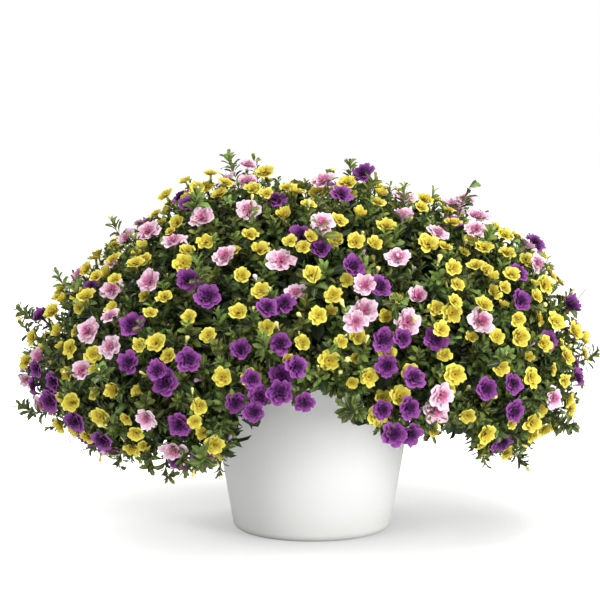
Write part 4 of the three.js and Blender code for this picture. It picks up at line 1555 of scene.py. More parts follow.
    def between(self) -> Candidates:
        """Sets the small blooms that are tucked between the others.

        Returns:
            The blooms.
        """
        index = np.arange(self.late_places) + self.late_first
        even = self.mound.even_polars(self.late_places)
        down, round_axis = self.late_jitter
        polar = even + lean(index, Use.LATE_POLAR) * down
        azimuth = index * GOLDEN_ANGLE + self.late_turn + lean(index, Use.LATE_AZIMUTH) * round_axis
        keep = polar <= self.mound.lip_polar(azimuth)
        index, polar, azimuth = index[keep], polar[keep], azimuth[keep]
        kinds = self.kinds(index, polar, azimuth)
        kinds = np.where(draw(index, Use.BUD_KIND) < self.late_yellow, BloomKind.YELLOW.value, kinds)
        low, high = self.late_sizes
        sizes = low + (high - low) * draw(index, Use.LATE_SIZE)
        depth = self.late_depth * draw(index, Use.LATE_DEPTH)
        return Candidates(index, kinds, polar, azimuth, sizes, depth, self.late_overlap, self.late_half_open)

    def placed(self, group: Candidates) -> Points:
        """Finds where a group's blooms would stand, and which way they would face.

        Args:
            group: The blooms.

        Returns:
            Their places.
        """
        radius = group.sizes * np.array([HABITS[BloomKind(kind)].radius for kind in group.kinds])
        outward = self.mound.outward(group.polar, group.azimuth)
        swing = swings(group.index, Use.LEAN_ONE, Use.LEAN_TWO, Use.TURN_ONE) * self.late_lean
        facing = unit(outward + self.lift * UP + swing + self.light_pull(outward))
        centre = self.mound.point(group.polar, group.azimuth, group.depth)
        last = SMALL_BLOOM.variants - 1
        half_open = draw(group.index, Use.SHAPE) < group.half_open
        shape = np.where(half_open, last, np.floor(draw(group.index, Use.SINK) * last))
        return self.turned(group.index, centre, facing, radius, shape)

    @staticmethod
    def with_room(found: Points, taken: Points, closeness: float) -> list[int]:
        """Finds which blooms have room beside the taken ones and each other.

        Args:
            found: Where the blooms would stand.
            taken: Where others stand.
            closeness: How near two may stand, in shares of both radii.

        Returns:
            The blooms' numbers in their block.
        """
        places, sizes = taken.places, taken.size
        kept: list[int] = []
        for number, (centre, radius) in enumerate(zip(found.places, found.size)):
            gaps = np.linalg.norm(places - centre, axis=1)
            if np.all(gaps >= (sizes + radius) * closeness):
                kept.append(number)
                places = np.vstack((places, centre))
                sizes = np.append(sizes, radius)
        return kept

    def grow_late(self) -> None:
        """Adds the crowded patches' own blooms, and tucks small ones in between wherever there is room."""
        blocks, kinds, polar, azimuth = [], [], [], []
        for group in (self.crowded(), self.between()):
            found = self.placed(group)
            kept = self.with_room(found, Points.joined([self.points, *blocks]), group.closeness)
            blocks.append(found.pick(kept))
            kinds.append(group.kinds[kept])
            polar.append(group.polar[kept])
            azimuth.append(group.azimuth[kept])
        self.late = Points.joined(blocks)
        self.late_kind, self.late_polar, self.late_azimuth = map(np.concatenate, (kinds, polar, azimuth))

    def of_kind(self, kind: BloomKind) -> Points:
        """The places of one kind of bloom."""
        return self.points.pick(self.kind == kind.value)

    def late_of_kind(self, kind: BloomKind) -> Points:
        """The places of one kind's late blooms."""
        return self.late.pick(self.late_kind == kind.value)

    def all_heads(self) -> tuple[Points, Array, Array]:
        """Joins all blooms, the late ones too.

        Returns:
            Their places, and their angles down from the top and round the axis.
        """
        polar = np.concatenate((self.polar, self.late_polar))
        azimuth = np.concatenate((self.azimuth, self.late_azimuth))
        return Points.joined([self.points, self.late]), polar, azimuth


@dataclass
class Blooms:
    """The petals of every bloom, a piece for each colour."""

    field: BloomField
    seed: int = 11

    def build(self) -> None:
        """Sets the blooms of each kind on their places."""
        for kind, habit in HABITS.items():
            shapes = shapes_collection(habit.shape.meshes())
            values = {
                "Shapes": shapes, "Size": habit.rim_share, "Seed": self.seed,
                "Material": habit.finish.material(),
            }
            piece = grow(kind.value + "_blooms", self.field.of_kind(kind).mesh(), scatter_tree(), values)
            names = [f"{kind.value}_truss_{number + 1}" for number in range(habit.trusses)]
            settle(piece, names)
            late = self.field.late_of_kind(kind).mesh()
            settle(grow(f"late_{kind.value}_blooms", late, scatter_tree(), values))
            drop_shapes(shapes)


@dataclass
class Stalks:
    """The stalk and green calyx under each bloom."""

    field: BloomField
    mound: Mound
    buds: "Buds"
    calyx_base: float = 1.12
    bud_calyx: float = 0.62
    thickness: float = 0.75 * MM
    taper: Pair = (1.15, 0.9)
    depth: float = 62 * MM
    toward_crown: float = 24 * MM
    leave: float = 16 * MM
    stops: int = 7
    sides: int = 5
    sepals: int = 5
    seed: int = 12

    def calyx(self) -> Mesh:
        """Builds a calyx for a bloom of radius 1: narrow sepals round the tube's foot.

        Returns:
            The mesh.
        """
        stations = ((0.0, 0.05, 0.0), (0.11, 0.085, 0.14), (0.16, 0.06, 0.45), (0.34, 0.0, 0.72))
        left, right, rows = 0.2, 0.8, len(stations) - 1
        points, faces, corners = [], [], []
        for sepal in range(self.sepals):
            turn = TURN * sepal / self.sepals
            out = np.array((math.cos(turn), math.sin(turn), 0.0))
            side = np.array((-math.sin(turn), math.cos(turn), 0.0))
            start = len(points)
            for away, half, height in stations[:-1]:
                middle = out * away
                points.extend((middle - side * half + UP * height, middle + side * half + UP * height))
            points.append(out * stations[-1][0] + UP * stations[-1][2])
            for row in range(rows - 1):
                low = start + row * 2
                faces.append((low, low + 1, low + 3, low + 2))
                at, to = row / rows, (row + 1) / rows
                corners.extend(((left, at), (right, at), (right, to), (left, to)))
            faces.append((start + 4, start + 5, start + 6))
            corners.extend(((left, 1 - 1 / rows), (right, 1 - 1 / rows), (0.5, 1.0)))
        return plain_mesh(points, faces, corners)

    def build(self) -> None:
        """Leads a stalk from under each bloom into the mound, and sets calyces on blooms and buds."""
        points, polar, azimuth = self.field.all_heads()
        foot = points.places - points.facing * (points.size * self.calyx_base)[:, None]
        down, _ = self.mound.slopes(polar, azimuth)
        outward = self.mound.outward(polar, azimuth)
        inside = points.places - outward * self.depth - unit(down) * self.toward_crown
        near_foot = foot - points.facing * self.leave
        lines = bend(inside, inside + outward * self.leave, near_foot, foot, self.stops)
        thickness = self.thickness * np.linspace(*self.taper, self.stops)
        values = {"Sides": self.sides, "Thickness": 1.0, "Material": STEM_GREEN.material()}
        settle(grow("bloom_stalks", lines_mesh(lines, thickness), tube_tree(), values))
        under_buds = self.buds.points()
        zeros = np.zeros(len(foot) + len(under_buds.size))
        cups = Points.joined([points, under_buds])
        cups.places = np.concatenate((foot, under_buds.places))
        cups.size = np.concatenate((points.size, under_buds.size * self.bud_calyx))
        cups.shape = zeros
        shapes = shapes_collection([self.calyx()])
        values = {"Shapes": shapes, "Size": 1.0, "Seed": self.seed, "Material": CALYX_GREEN.material()}
        settle(grow("calyces", cups.mesh(), scatter_tree(), values))
        drop_shapes(shapes)


# ---- Leafy shoots ----


@dataclass(frozen=True)
class LeafShape:
    """A narrow leaf of length 1 along +X that faces +Z."""

    half_width: float
    fold: float
    droop: float
    twist: float
    arch: float = 0.10

    def mesh(self) -> Mesh:
        """Builds the leaf as two folded halves on a curved midrib.

        Returns:
            The mesh.
        """
        stations = ((0.0, 0.14), (0.42, 0.82), (0.82, 0.88))
        points = []
        for at, share in (*stations, (1.0, 0.0)):
            half = self.half_width * share
            rib = np.array((at, 0.0, self.arch * math.sin(math.pi * at) - self.droop * at * at))
            turn = self.twist * at
            side = np.array((0.0, math.cos(turn), math.sin(turn)))
            rise = np.array((0.0, -math.sin(turn), math.cos(turn))) * self.fold * half
            points.extend((rib - side * half + rise, rib, rib + side * half + rise))
        tip = 9
        faces, corners = [], []
        for row in range(len(stations) - 1):
            at, to = stations[row][0], stations[row + 1][0]
            for side in range(2):
                low = row * 3 + side
                faces.append((low, low + 3, low + 4, low + 1))
                left, right = side / 2, (side + 1) / 2
                corners.extend(((left, at), (left, to), (right, to), (right, at)))
        for side in range(2):
            faces.append((tip - 3 + side, tip, tip - 2 + side))
            corners.extend(((side / 2, stations[-1][0]), (0.5, 1.0), ((side + 1) / 2, stations[-1][0])))
        return plain_mesh(points[:tip + 1], faces, corners)


LEAF_SHAPES = (
    LeafShape(0.18, 0.35, 0.10, 0.0),
    LeafShape(0.24, 0.20, 0.25, 0.4),
    LeafShape(0.16, 0.60, 0.02, -0.4),
    LeafShape(0.27, 0.30, 0.36, 0.2),
    LeafShape(0.19, 0.50, -0.08, -0.2),
    LeafShape(0.22, 0.40, 0.18, 0.7),
)


@dataclass(frozen=True)
class Tier:
    """A ring of green sprays: its name, how many it has, the first one's azimuth and their feet's circle."""

    name: str
    count: int
    first: float
    circle: float


CROWN = Tier("crown", 4, math.pi / 4, 30 * MM)
SKIRT = Tier("skirt", 10, -math.pi / 2, 82 * MM)


@dataclass(frozen=True)
class Leafing:
    """How leaves stand along a shoot's leafy end, each a golden angle on from the last."""

    leafy: float = 60 * MM
    leafy_most: float = 0.8
    foot_length: float = 18 * MM
    tip_length: float = 10 * MM
    shorten_power: float = 2.5
    stray_length: Pair = (0.82, 0.36)
    foot_angle: float = 72.0
    closing: float = 40.0
    stray_angle: float = 26.0
    stray_roll: float = 1.3
    fresh_power: float = 1.5
    fresh_start: float = -0.25
    own_fresh: float = 0.5
    shoot_fresh: float = 0.4
    look: float = 4 * MM
    count: int = 26
    draws: int = 40

    def on(self, line: Array, shoot: int) -> Points:
        """Sets the leaves of one shoot.

        Args:
            line: The shoot's points.
            shoot: The shoot's number.

        Returns:
            The leaves' places.
        """
        run = np.concatenate(((0.0,), np.cumsum(np.linalg.norm(np.diff(line, axis=0), axis=1))))
        share = np.arange(self.count) / (self.count - 1)
        at = run[-1] - min(self.leafy, run[-1] * self.leafy_most) * (1 - share)
        places, ahead, behind = (
            np.stack([np.interp(at + step, run, line[:, axis]) for axis in range(3)], -1)
            for step in (0.0, self.look, -self.look)
        )
        way = unit(ahead - behind)
        first, second = cross_frame(way)
        number = shoot * self.draws + np.arange(self.count)
        turn = TURN * float(draw(shoot, Use.SHOOT_PHASE)) + GOLDEN_ANGLE * np.arange(self.count)
        out = first * np.cos(turn)[:, None] + second * np.sin(turn)[:, None]
        angle = self.foot_angle - self.closing * share**2 + self.stray_angle * lean(number, Use.LEAF_ANGLE)
        angle = np.radians(angle)[:, None]
        along = way * np.cos(angle) + out * np.sin(angle)
        facing = way * np.sin(angle) - out * np.cos(angle)
        roll = (self.stray_roll * lean(number, Use.LEAF_ROLL))[:, None]
        facing = facing * np.cos(roll) + np.cross(along, facing) * np.sin(roll)
        size = self.foot_length + (self.tip_length - self.foot_length) * share**self.shorten_power
        size = size * strayed(self.stray_length, number, Use.LEAF_LENGTH)
        shape = np.floor(draw(number, Use.SHAPE) * len(LEAF_SHAPES))
        fresh = share**self.fresh_power + self.fresh_start + self.own_fresh * draw(number, Use.FRESH)
        return Points(places, facing, along, size, shape, fresh + self.shoot_fresh * lean(shoot, Use.FRESH))


SHOOT_LEAVES = Leafing()
SPRIG_LEAVES = Leafing(leafy=36 * MM, tip_length=13 * MM)


@dataclass
class InnerLeaves:
    """The larger leaves that stand deeper in the mound, darker the deeper they stand: partly older leaves,
    partly painted shade that makes the gaps near-black.
    """

    mound: Mound
    count: int = 5000
    turn: float = 2.2
    lip_gap: float = 0.08
    depth: float = 30 * MM
    spread: float = 92 * MM
    outward: float = 0.5
    upward: float = 0.3
    stray: float = 1.1
    length: float = 30 * MM
    stray_length: Pair = (0.8, 0.4)

    def points(self) -> Points:
        """Spreads the leaves.

        Returns:
            Their places.
        """
        index = np.arange(self.count)
        polar = self.mound.even_polars(self.count)
        azimuth = index * GOLDEN_ANGLE + self.turn
        deep = draw(index, Use.OLD_DEPTH)
        places = self.mound.point(polar, azimuth, self.depth + self.spread * deep)
        swing = swings(index, Use.OLD_X, Use.OLD_Y, Use.OLD_Z)
        facing = self.mound.outward(polar, azimuth) * self.outward + UP * self.upward
        facing = unit(facing + swing * self.stray)
        first, second = cross_frame(facing)
        turn = (TURN * draw(index, Use.LEAF_ROLL))[:, None]
        along = first * np.cos(turn) + second * np.sin(turn)
        size = self.length * strayed(self.stray_length, index, Use.LEAF_LENGTH)
        shape = np.floor(draw(index, Use.SHAPE) * len(LEAF_SHAPES))
        inside = polar < self.mound.lip_polar(azimuth) - self.lip_gap
        # Deeper leaves get a darker tone, partly for age and partly as painted shade.
        return Points(places, facing, along, size, shape, 1 - deep).pick(inside)


@dataclass
class Branches:
    """The branches, from the stems' feet in the soil to where they fork, the low ones over the rim.

    Radii are in millimetres, at the foot and at the fork.
    """

    mound: Mound
    count: int = 120
    depth: float = 104 * MM
    turn: float = 0.4
    lip_gap: float = 0.16
    hanging_under: float = 300 * MM
    stray: float = 5 * MM
    foot: float = 207 * MM
    foot_rise: float = 85 * MM
    foot_out: float = 12 * MM
    over_in: float = 45 * MM
    over_up: float = 70 * MM
    over_least: float = 315 * MM
    under: float = 50 * MM
    radii: Pair = (2.4, 1.2)
    stops: int = 12
    sides: int = 6

    def ends(self) -> Array:
        """Spreads the branches' ends, where they fork into shoots.

        Returns:
            The ends.
        """
        azimuth = np.arange(self.count) * GOLDEN_ANGLE + self.turn
        polar = self.mound.even_polars(self.count)
        polar = np.minimum(polar, self.mound.lip_polar(azimuth) - self.lip_gap)
        return self.mound.point(polar, azimuth, self.depth)

    def build(self) -> None:
        """Leads each branch from the nearest foot of its tier to its end."""
        ends = self.ends()
        azimuth = np.arctan2(ends[:, 1], ends[:, 0])
        low = ends[:, 2] < self.hanging_under
        sector = np.where(low, TURN / SKIRT.count, TURN / CROWN.count)
        first = np.where(low, SKIRT.first, CROWN.first)
        own = first + np.round((azimuth - first) / sector) * sector
        circle = np.where(low, SKIRT.circle, CROWN.circle)
        stray = self.stray * lean(np.arange(len(ends)), Use.BRANCH)
        feet = level(circle * np.cos(own) + stray, circle * np.sin(own) - stray, self.foot)
        rise = feet + UP * self.foot_rise + level(np.cos(own), np.sin(own), 0.0) * self.foot_out
        over = ends - level(np.cos(azimuth), np.sin(azimuth), 0.0) * np.where(low, self.over_in, 0.0)[:, None]
        arched = np.maximum(ends[:, 2] + self.over_up, self.over_least)
        over[:, 2] = np.where(low, arched, ends[:, 2] - self.under)
        lines = bend(feet, rise, over, ends, self.stops)
        mesh = lines_mesh(lines, np.linspace(*self.radii, self.stops) * MM)
        values = {"Sides": self.sides, "Thickness": 1.0, "Material": STEM_OLD.material()}
        settle(grow("branches", mesh, tube_tree(), values))


@dataclass
class Tips(Rows):
    """Where shoots end: their numbers, two angles, depths and how much the ends rise."""

    index: Array
    polar: Array
    azimuth: Array
    depth: Array
    rise: Array


@dataclass
class Shoots:
    """The leafy shoots that cover the mound: most of them, sprigs that stand out, and a hanging fringe.

    The parting, fringe and droop bands are angles short of the skirt's full end, and the low band is
    angles down from the top. Radii are in millimetres, at a foot and a tip.
    """

    mound: Mound
    field: BloomField
    branches: Branches
    count: int = 1240
    turn: float = 1.3
    jitter: float = 26 * MM
    least_flat: float = 0.15
    least_polar: float = 0.03
    shallow: float = -2 * MM
    deep: float = 34 * MM
    standing_share: float = 0.05
    stand_out: float = 20 * MM
    rises: Pair = (0.35, 0.6)
    sprigs: int = 40
    sprig_turn: float = 0.5
    sprig_out: float = 17 * MM
    sprig_spread: float = 14 * MM
    sprig_rises: Pair = (0.3, 0.5)
    lip_out: float = 0.015
    parting: float = 0.075
    parting_band: Pair = (0.1, 0.3)
    fringe: int = 170
    fringe_turn: float = 1.7
    fringe_in: float = 0.11
    fringe_spread: float = 0.03
    fringe_reach: float = 0.12
    fringe_band: float = 0.08
    fringe_out: float = 4 * MM
    fringe_depth: float = 16 * MM
    droop: float = 0.9
    droop_band: Pair = (0.25, 0.1)
    hang: float = 0.14
    tip_out: float = 0.8
    tip_lean: float = 1.25
    tip_bend: float = 36 * MM
    fork_up: float = 20 * MM
    leave_out: float = 20 * MM
    leave_down: float = 12 * MM
    # Painted shade: leaves darken from the first depth inside the face to the second, and low in the skirt by
    # low_shade over the low band.
    light_depth: float = 2 * MM
    dark_depth: float = 38 * MM
    low_shade: float = 0.8
    low_band: Pair = (1.05, 1.65)
    bare: Pair = (0.35, 0.9)
    room: Pair = (-3 * MM, 45 * MM)
    room_shares: Triple = (0.15, 0.55, 0.95)
    crown_edge: float = math.radians(49.5)
    radii: Pair = (1.05, 0.45)
    thicker: float = 1.1
    stops: int = 9
    sides: int = 3
    seed: int = 21

    def grow(self) -> None:
        """Bends each shoot from its branch out to its tip."""
        self.tips = tips = Tips.joined([self.cover_tips(), self.sprig_tips(), self.fringe_tips()])
        outward = self.mound.outward(tips.polar, tips.azimuth)
        down = unit(self.mound.slopes(tips.polar, tips.azimuth)[0])
        ends = self.mound.point(tips.polar, tips.azimuth) - outward * tips.depth[:, None]
        swing = swings(tips.index, Use.SHOOT_LEAN_X, Use.SHOOT_LEAN_Y, Use.SHOOT_LEAN_Z)
        way = unit(outward * self.tip_out + UP * tips.rise[:, None] + swing * self.tip_lean)
        forks = self.branches.ends()
        wished = ends - outward * self.branches.depth - down * self.fork_up
        starts = forks[np.argmin(np.linalg.norm(forks[None] - wished[:, None], axis=2), 1)]
        leave = starts + outward * self.leave_out + down * self.leave_down
        self.lines = bend(starts, leave, ends - way * self.tip_bend, ends, self.stops)

    def cover_tips(self) -> Tips:
        """Spreads the tips of the shoots that cover the mound.

        Returns:
            The tips.
        """
        index = np.arange(self.count)
        even = self.mound.even_polars(self.count)
        away = self.mound.reach(even, MEAN_AZIMUTH)
        polar = even + lean(index, Use.SHOOT_POLAR) * self.jitter / away
        flat = away * np.maximum(self.least_flat, np.sin(even))
        azimuth = index * GOLDEN_ANGLE + self.turn + lean(index, Use.SHOOT_AZIMUTH) * self.jitter / flat
        keep = polar < self.leaf_lip(azimuth)
        polar = np.maximum(self.least_polar, polar)
        depth = self.shallow + (self.deep - self.shallow) * draw(index, Use.SHOOT_DEPTH)
        stands = draw(index, Use.SHOOT_STAND) < self.standing_share
        depth = np.where(stands, -self.stand_out * draw(index, Use.SHOOT_DEPTH), depth)
        rise = self.rises[0] + self.rises[1] * np.sin(polar)
        return Tips(index, polar, azimuth, depth, rise).pick(keep)

    def leaf_lip(self, azimuth: Array) -> Array:
        """Where the leaves end, a little short of the lip in the parting.

        Args:
            azimuth: Angles round the axis.

        Returns:
            Angles down from the top.
        """
        lip = self.mound.lip_polar(azimuth)
        full = math.radians(self.mound.lip)
        start, end = self.parting_band
        return lip + self.lip_out - self.parting * smoothstep(lip, full - start, full - end)

    def sprig_tips(self) -> Tips:
        """Spreads the tips of the sprigs that stand out of the mound.

        Returns:
            The tips.
        """
        index = np.arange(self.sprigs)
        number = index + self.count
        polar = np.maximum(self.least_polar, self.mound.even_polars(self.sprigs))
        azimuth = index * GOLDEN_ANGLE + self.sprig_turn
        depth = -self.sprig_out - self.sprig_spread * draw(number, Use.STAND_OUT)
        rise = self.sprig_rises[0] + self.sprig_rises[1] * np.sin(polar)
        return Tips(number, polar, azimuth, depth, rise).pick(polar < self.mound.lip_polar(azimuth))

    def fringe_tips(self) -> Tips:
        """Spreads the tips of the shoots that hang along the skirt's end.

        Returns:
            The tips.
        """
        index = np.arange(self.fringe)
        number = index + self.count + self.sprigs
        azimuth = index * GOLDEN_ANGLE + self.fringe_turn
        polar = self.leaf_lip(azimuth)
        full = math.radians(self.mound.lip)
        hang = self.fringe_reach * smoothstep(polar, full - self.fringe_band, full)
        polar = polar - self.fringe_in + (self.fringe_spread + hang) * draw(number, Use.FRINGE)
        depth = -self.fringe_out + self.fringe_depth * draw(number, Use.FRINGE_DEPTH)
        start, end = self.droop_band
        rise = -self.droop + self.droop * draw(number, Use.SHOOT_STAND)
        return Tips(number, polar, azimuth, depth, rise * smoothstep(polar, full - start, full - end))

    def leaf_points(self) -> tuple[Points, Array]:
        """Sets leaves round each shoot, darker towards its foot, and darkened by painted shade deep in the
        mound and low in the skirt.

        Returns:
            The leaves' places, and which of the shoots each grows on.
        """
        blocks = []
        for line, number in zip(self.lines, self.tips.index):
            sprig = self.count <= number < self.count + self.sprigs
            blocks.append((SPRIG_LEAVES if sprig else SHOOT_LEAVES).on(line, number))
        leaves = Points.joined(blocks)
        polar, _, depth = self.mound.angles(leaves.places + leaves.along * leaves.size[:, None] / 2)
        # Painted shade: leaves deep inside the face and low in the skirt get a darker tone.
        leaves.fresh = np.clip(leaves.fresh, 0, 1) * smoothstep(-depth, -self.dark_depth, -self.light_depth)
        leaves.fresh *= 1 - self.low_shade * smoothstep(polar, *self.low_band)
        return leaves, np.repeat(np.arange(len(blocks)), [len(block.size) for block in blocks])

    def free(self, leaves: Points) -> Array:
        """Finds the leaves that hang little under the lip, and keep out of the room over the blooms' faces.

        Args:
            leaves: The leaves' places.

        Returns:
            Whether each leaf does.
        """
        tip_polar, azimuth, _ = self.mound.angles(leaves.places + leaves.along * leaves.size[:, None])
        free = tip_polar < self.leaf_lip(azimuth) + self.hang
        heads, _, _ = self.field.all_heads()
        least, most = self.bare
        bare = heads.size * (least + (most - least) * heads.fresh)
        low, high = self.room
        for share in self.room_shares:
            spots = leaves.places + leaves.along * (leaves.size * share)[:, None]
            for centre, facing, radius in zip(heads.places, heads.facing, bare):
                away = spots - centre
                height = away @ facing
                beside = np.linalg.norm(away - height[:, None] * facing, axis=1)
                free &= ~((height > low) & (height < high) & (beside < radius))
        return free

    def sprays(self) -> list[tuple[str, Array]]:
        """Shares the shoots among the green sprays.

        Returns:
            Each spray's name, and which of the shoots are its own.
        """
        crown = self.tips.polar < self.crown_edge
        found = []
        for tier, own in ((CROWN, crown), (SKIRT, ~crown)):
            turns = (self.tips.azimuth - tier.first) / (TURN / tier.count)
            sector = np.round(turns).astype(int) % tier.count
            found.extend((f"{tier.name}_spray_{n + 1}", own & (sector == n)) for n in range(tier.count))
        return found

    def build(self) -> None:
        """Builds the leaves of each spray, the deeper leaves and the shoots' stems."""
        leaves, owners = self.leaf_points()
        free = self.free(leaves)
        shapes = shapes_collection([shape.mesh() for shape in LEAF_SHAPES])
        values = {"Shapes": shapes, "Size": 1.0, "Seed": self.seed, "Material": GREEN_LEAF.material()}
        for name, own in self.sprays():
            places = leaves.pick(free & own[owners]).mesh()
            settle(grow(name.replace("spray", "leaves"), places, scatter_tree(), values), [name])
        old = InnerLeaves(self.mound).points()
        values["Material"] = OLD_AND_SHADED_LEAF.material()
        settle(grow("inner_leaves", old.pick(self.free(old)).mesh(), scatter_tree(), values))
        drop_shapes(shapes)
        lines = lines_mesh(self.lines, np.linspace(*self.radii, self.stops) * MM)
        values = {"Sides": self.sides, "Thickness": self.thicker, "Material": STEM_GREEN.material()}
        settle(grow("shoot_stems", lines, tube_tree(), values))


@dataclass
class Buds:
    """Closed and part-open buds at the tips of some shoots.

    A form is how plump and how bent a bud is. The shares end where the next kind's begin.
    """

    shoots: Shoots
    share: float = 0.20
    length: float = 12.5 * MM
    stray_length: Pair = (0.6, 0.7)
    stray: float = 0.9
    forms: tuple[Pair, ...] = ((1.0, 0.05), (1.35, -0.08), (0.8, 0.12))
    kind_ends: tuple[float, ...] = (0.72, 0.88, 1.01)
    sides: int = 6
    twist: float = 1.6
    bulge: float = 1.18
    bulge_from: float = 0.6
    map_start: float = 0.3
    map_span: float = 0.5
    seed: int = 31

    def pod(self, plump: float, bent: float) -> Mesh:
        """Builds a closed bud of length 1 along +Z, with furled petals.

        Args:
            plump: How plump it is.
            bent: How far it bends aside.

        Returns:
            The mesh.
        """
        stations = ((0.0, 0.05), (0.12, 0.075), (0.45, 0.07), (0.70, 0.13), (0.88, 0.15), (0.98, 0.07))
        sides, points, corners = self.sides, [], []
        for at, half in stations:
            for side in range(sides):
                turn = TURN * side / sides + at * self.twist
                radius = half * plump * (self.bulge if side % 2 and at > self.bulge_from else 1.0)
                points.append((radius * math.cos(turn) + bent * at * at, radius * math.sin(turn), at))
        points.append((bent, 0.0, 1.0))
        faces = ring_faces(len(stations), sides)
        for row in range(len(stations) - 1):
            at, to = (self.map_start + stations[n][0] * self.map_span for n in (row, row + 1))
            for side in range(sides):
                corners.extend(((side, at), (side + 1, at), (side + 1, to), (side, to)))
        last, end = (len(stations) - 1) * sides, self.map_start + self.map_span
        for side in range(sides):
            faces.append((last + side, last + (side + 1) % sides, len(points) - 1))
            corners.extend(((side, end), (side + 1, end), (side + 0.5, end)))
        mesh = plain_mesh(points, faces, corners)
        give_values(mesh, "heart", np.zeros(len(points)))
        return mesh

    def points(self) -> Points:
        """Sets buds at the tips of some shoots.

        Returns:
            Their places.
        """
        index = self.shoots.tips.index
        tips = self.shoots.lines[:, -1]
        way = unit(tips - self.shoots.lines[:, -2])
        facing = unit(way + swings(index, Use.LEAN_ONE, Use.LEAN_TWO, Use.SINK) * self.stray)
        along, _ = cross_frame(facing)
        size = self.length * strayed(self.stray_length, index, Use.BUD_SIZE)
        shape = np.floor(draw(index, Use.SHAPE) * len(self.forms))
        buds = Points(tips, facing, along, size, shape, draw(index, Use.BUD_KIND))
        return buds.pick(draw(index, Use.BUD) < self.share)

    def build(self) -> None:
        """Sets buds of each colour on their places."""
        buds, start = self.points(), 0.0
        for kind, end in zip(BloomKind, self.kind_ends):
            shapes = shapes_collection([self.pod(*form) for form in self.forms])
            petal = bpy.data.materials[HABITS[kind].finish.name]
            values = {"Shapes": shapes, "Size": 1.0, "Seed": self.seed, "Material": petal}
            own = buds.pick((buds.fresh >= start) & (buds.fresh < end)).mesh()
            settle(grow(kind.value + "_buds", own, scatter_tree(), values))
            drop_shapes(shapes)
            start = end


# ---- Tub and soil ----


def lathe(outline: Array, sides: int) -> Mesh:
    """A turned shape from an outline that starts and ends on the axis.

    Args:
        outline: Pairs of radius and height, the first and last on the axis.
        sides: How many faces it has round it.

    Returns:
        The closed mesh.
    """
    turns = TURN * np.arange(sides) / sides
    body = outline[1:-1]
    points = [(r * math.cos(turn), r * math.sin(turn), z) for r, z in body for turn in turns]
    points.append((0.0, 0.0, outline[0][1]))
    points.append((0.0, 0.0, outline[-1][1]))
    low, high = len(points) - 2, len(points) - 1
    faces = ring_faces(len(body), sides)
    last = (len(body) - 1) * sides
    for side in range(sides):
        after = (side + 1) % sides
        faces.append((after, side, low))
        faces.append((last + side, last + after, high))
    return plain_mesh(points, faces)


@dataclass
class Tub:
    """The plain tapered tub, with a rounded foot and a rounded rim."""

    height: float = 240 * MM
    foot_radius: float = 102.5 * MM
    rim_radius: float = 144 * MM
    foot_round: float = 12 * MM
    wall: float = 4 * MM
    floor: float = 5 * MM
    floor_round: float = 6 * MM
    foot_inset: float = 2 * MM
    sides: int = 128

    def radius(self, height: float) -> float:
        """The wall's outer radius at a height."""
        return self.foot_radius + (self.rim_radius - self.foot_radius) * height / self.height

    def outline(self) -> Array:
        """Draws the tub's section, from the middle of its base round to the middle of its floor.

        Returns:
            Pairs of radius and height.
        """
        foot, lip, middle = self.foot_round, self.wall / 2, self.foot_radius * 0.5
        points = [(0.0, 0.0), (middle, 0.0)]
        for turn in np.linspace(0, math.pi / 2, 8):
            flat = self.radius(foot) - foot * (1 - math.sin(turn))
            points.append((flat, foot * (1 - math.cos(turn))))
        for height in np.linspace(foot, self.height - lip, 9)[1:]:
            points.append((self.radius(height), height))
        for turn in np.linspace(0, math.pi, 7)[1:]:
            flat = self.radius(self.height) - lip + lip * math.cos(turn)
            points.append((flat, self.height - lip + lip * math.sin(turn)))
        for height in np.linspace(self.height - self.wall, self.floor + self.floor_round, 5)[1:]:
            points.append((self.radius(height) - self.wall, height))
        points.append((self.radius(self.floor) - self.wall - self.foot_inset, self.floor))
        points.extend(((middle, self.floor), (0.0, self.floor)))
        return np.array(points)

    def build(self) -> None:
        """Builds the tub."""
        piece = shown("white_tub", lathe(self.outline(), self.sides))
        piece.data.materials.append(WHITE_TUB.material())
        settle(piece, ["tub"])


@dataclass
class Soil:
    """The potting mix that fills the tub, crumbly on top."""

    tub: Tub
    below_rim: float = 22 * MM
    crown: float = 6 * MM
    gap: float = 0.3 * MM
    crumb: float = 2.2 * MM
    crumb_scale: float = 90.0
    crumb_layers: int = 4
    sides: int = 96
    rings: int = 26

    def build(self) -> None:
        """Builds the soil."""
        base = self.tub.floor + self.gap
        top = self.tub.height - self.below_rim
        inset = self.tub.wall + self.gap
        edge = self.tub.radius(top) - inset
        foot = self.tub.radius(base) - inset - self.tub.foot_inset - self.gap
        outline = [(0.0, base), (foot, base), (edge, top)]
        for share in np.linspace(1, 0, self.rings)[1:]:
            outline.append((edge * share, top + self.crown * (1 - share * share)))
        mesh = lathe(outline, self.sides)
        for vertex in mesh.vertices:
            flat = math.hypot(vertex.co.x, vertex.co.y)
            if vertex.co.z > top - MM and flat < edge - MM:
                rough = noise.fractal(vertex.co * self.crumb_scale, 1.0, 2.0, self.crumb_layers)
                vertex.co.z += self.crumb * rough
        piece = shown("potting_soil", mesh)
        mesh.materials.append(POTTING_SOIL.material())
        settle(piece, ["soil"])


# ---- Studio ----


@dataclass(frozen=True)
class SoftLight:
    """A square soft light: its name, where it stands, how wide it is and how strongly it shines."""

    name: str
    place: Place
    size: float
    power: float

    def build(self, aim: Vector) -> None:
        """Sets the light.

        Args:
            aim: The place that it shines at.
        """
        data = bpy.data.lights.new(self.name, "AREA")
        data.size = self.size
        data.energy = self.power
        light = bpy.data.objects.new(self.name, data)
        light.location = self.place
        light.rotation_euler = (aim - light.location).to_track_quat("-Z", "Y").to_euler()
        bpy.context.scene.collection.objects.link(light)


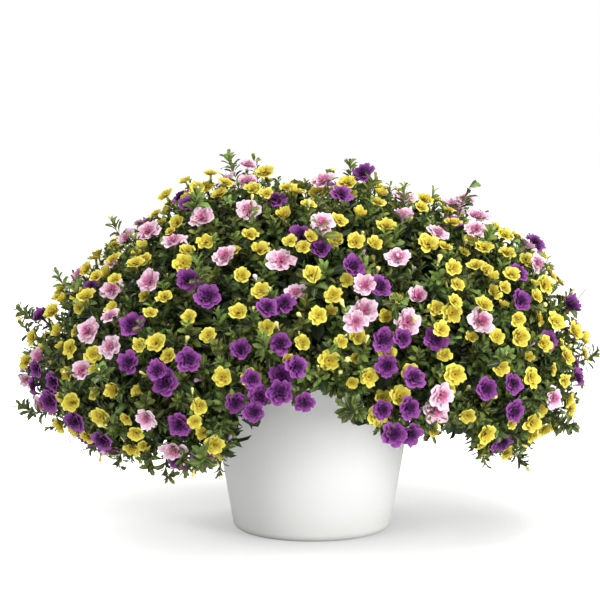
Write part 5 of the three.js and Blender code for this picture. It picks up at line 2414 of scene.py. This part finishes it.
@dataclass
class Studio:
    """A pale floor, a white backdrop, the camera, and soft lights at the front right, top, left and back."""

    camera_away: float = 2.6
    camera_height: float = 0.55
    aim: Place = (-0.016, 0.0, 0.30)
    view_width: float = 0.78
    sensor: float = 36.0
    light_aim: Place = (0.0, 0.0, 0.25)
    lights: tuple[SoftLight, ...] = (
        SoftLight("key", (2.35, -2.3, 0.66), 1.4, 82.0),
        SoftLight("top", (0.4, -0.9, 2.8), 1.6, 60.0),
        SoftLight("side", (-2.4, -1.6, 0.8), 1.8, 28.0),
        SoftLight("back", (-1.4, 2.4, 1.9), 1.6, 40.0),
    )
    fill_light: float = 0.24
    floor_size: float = 30.0

    def camera(self) -> None:
        """Sets the camera in front of the plant, a little above it."""
        data = bpy.data.cameras.new("camera")
        data.sensor_width = self.sensor
        data.lens = self.sensor * self.camera_away / self.view_width
        camera = bpy.data.objects.new("camera", data)
        camera.location = (self.aim[0], -self.camera_away, self.camera_height)
        way = Vector(self.aim) - camera.location
        camera.rotation_euler = way.to_track_quat("-Z", "Y").to_euler()
        bpy.context.scene.collection.objects.link(camera)
        bpy.context.scene.camera = camera

    def backdrop(self) -> None:
        """Makes the world white to look at and softer as a light."""
        world = bpy.data.worlds.new("studio")
        world.use_nodes = True
        bpy.context.scene.world = world
        build = ShaderBuilder(world.node_tree)
        looked_at = build.node("ShaderNodeLightPath").outputs["Is Camera Ray"]
        links = {"Value": looked_at, "To Min": self.fill_light, "To Max": 1.0}
        sky = world.node_tree.nodes["Background"].inputs
        sky["Color"].default_value = (1.0, 1.0, 1.0, 1.0)
        build.feed(sky["Strength"], build.node("ShaderNodeMapRange", links).outputs[0])

    def floor(self) -> None:
        """Lays the floor."""
        half = self.floor_size / 2
        corners = np.array(((-half, -half, 0), (half, -half, 0), (half, half, 0), (-half, half, 0)))
        piece = shown("floor", plain_mesh(corners, [(0, 1, 2, 3)]))
        piece.data.materials.append(PALE_FLOOR.material())

    def build(self) -> None:
        """Sets up the whole studio."""
        self.camera()
        for light in self.lights:
            light.build(Vector(self.light_aim))
        self.backdrop()
        self.floor()
        bpy.context.scene.view_settings.view_transform = "Standard"


# ---- Everything ----


def main() -> None:
    """Builds the studio, the tub and the plant."""
    logging.basicConfig(level=logging.INFO, format="%(name)s: %(message)s")
    Studio().build()
    tub = Tub()
    tub.build()
    Soil(tub).build()
    mound = Mound()
    field = BloomField(mound)
    field.grow()
    Blooms(field).build()
    branches = Branches(mound)
    shoots = Shoots(mound, field, branches)
    shoots.grow()
    shoots.build()
    branches.build()
    buds = Buds(shoots)
    buds.build()
    Stalks(field, mound, buds).build()


if __name__ == "__main__":
    main()
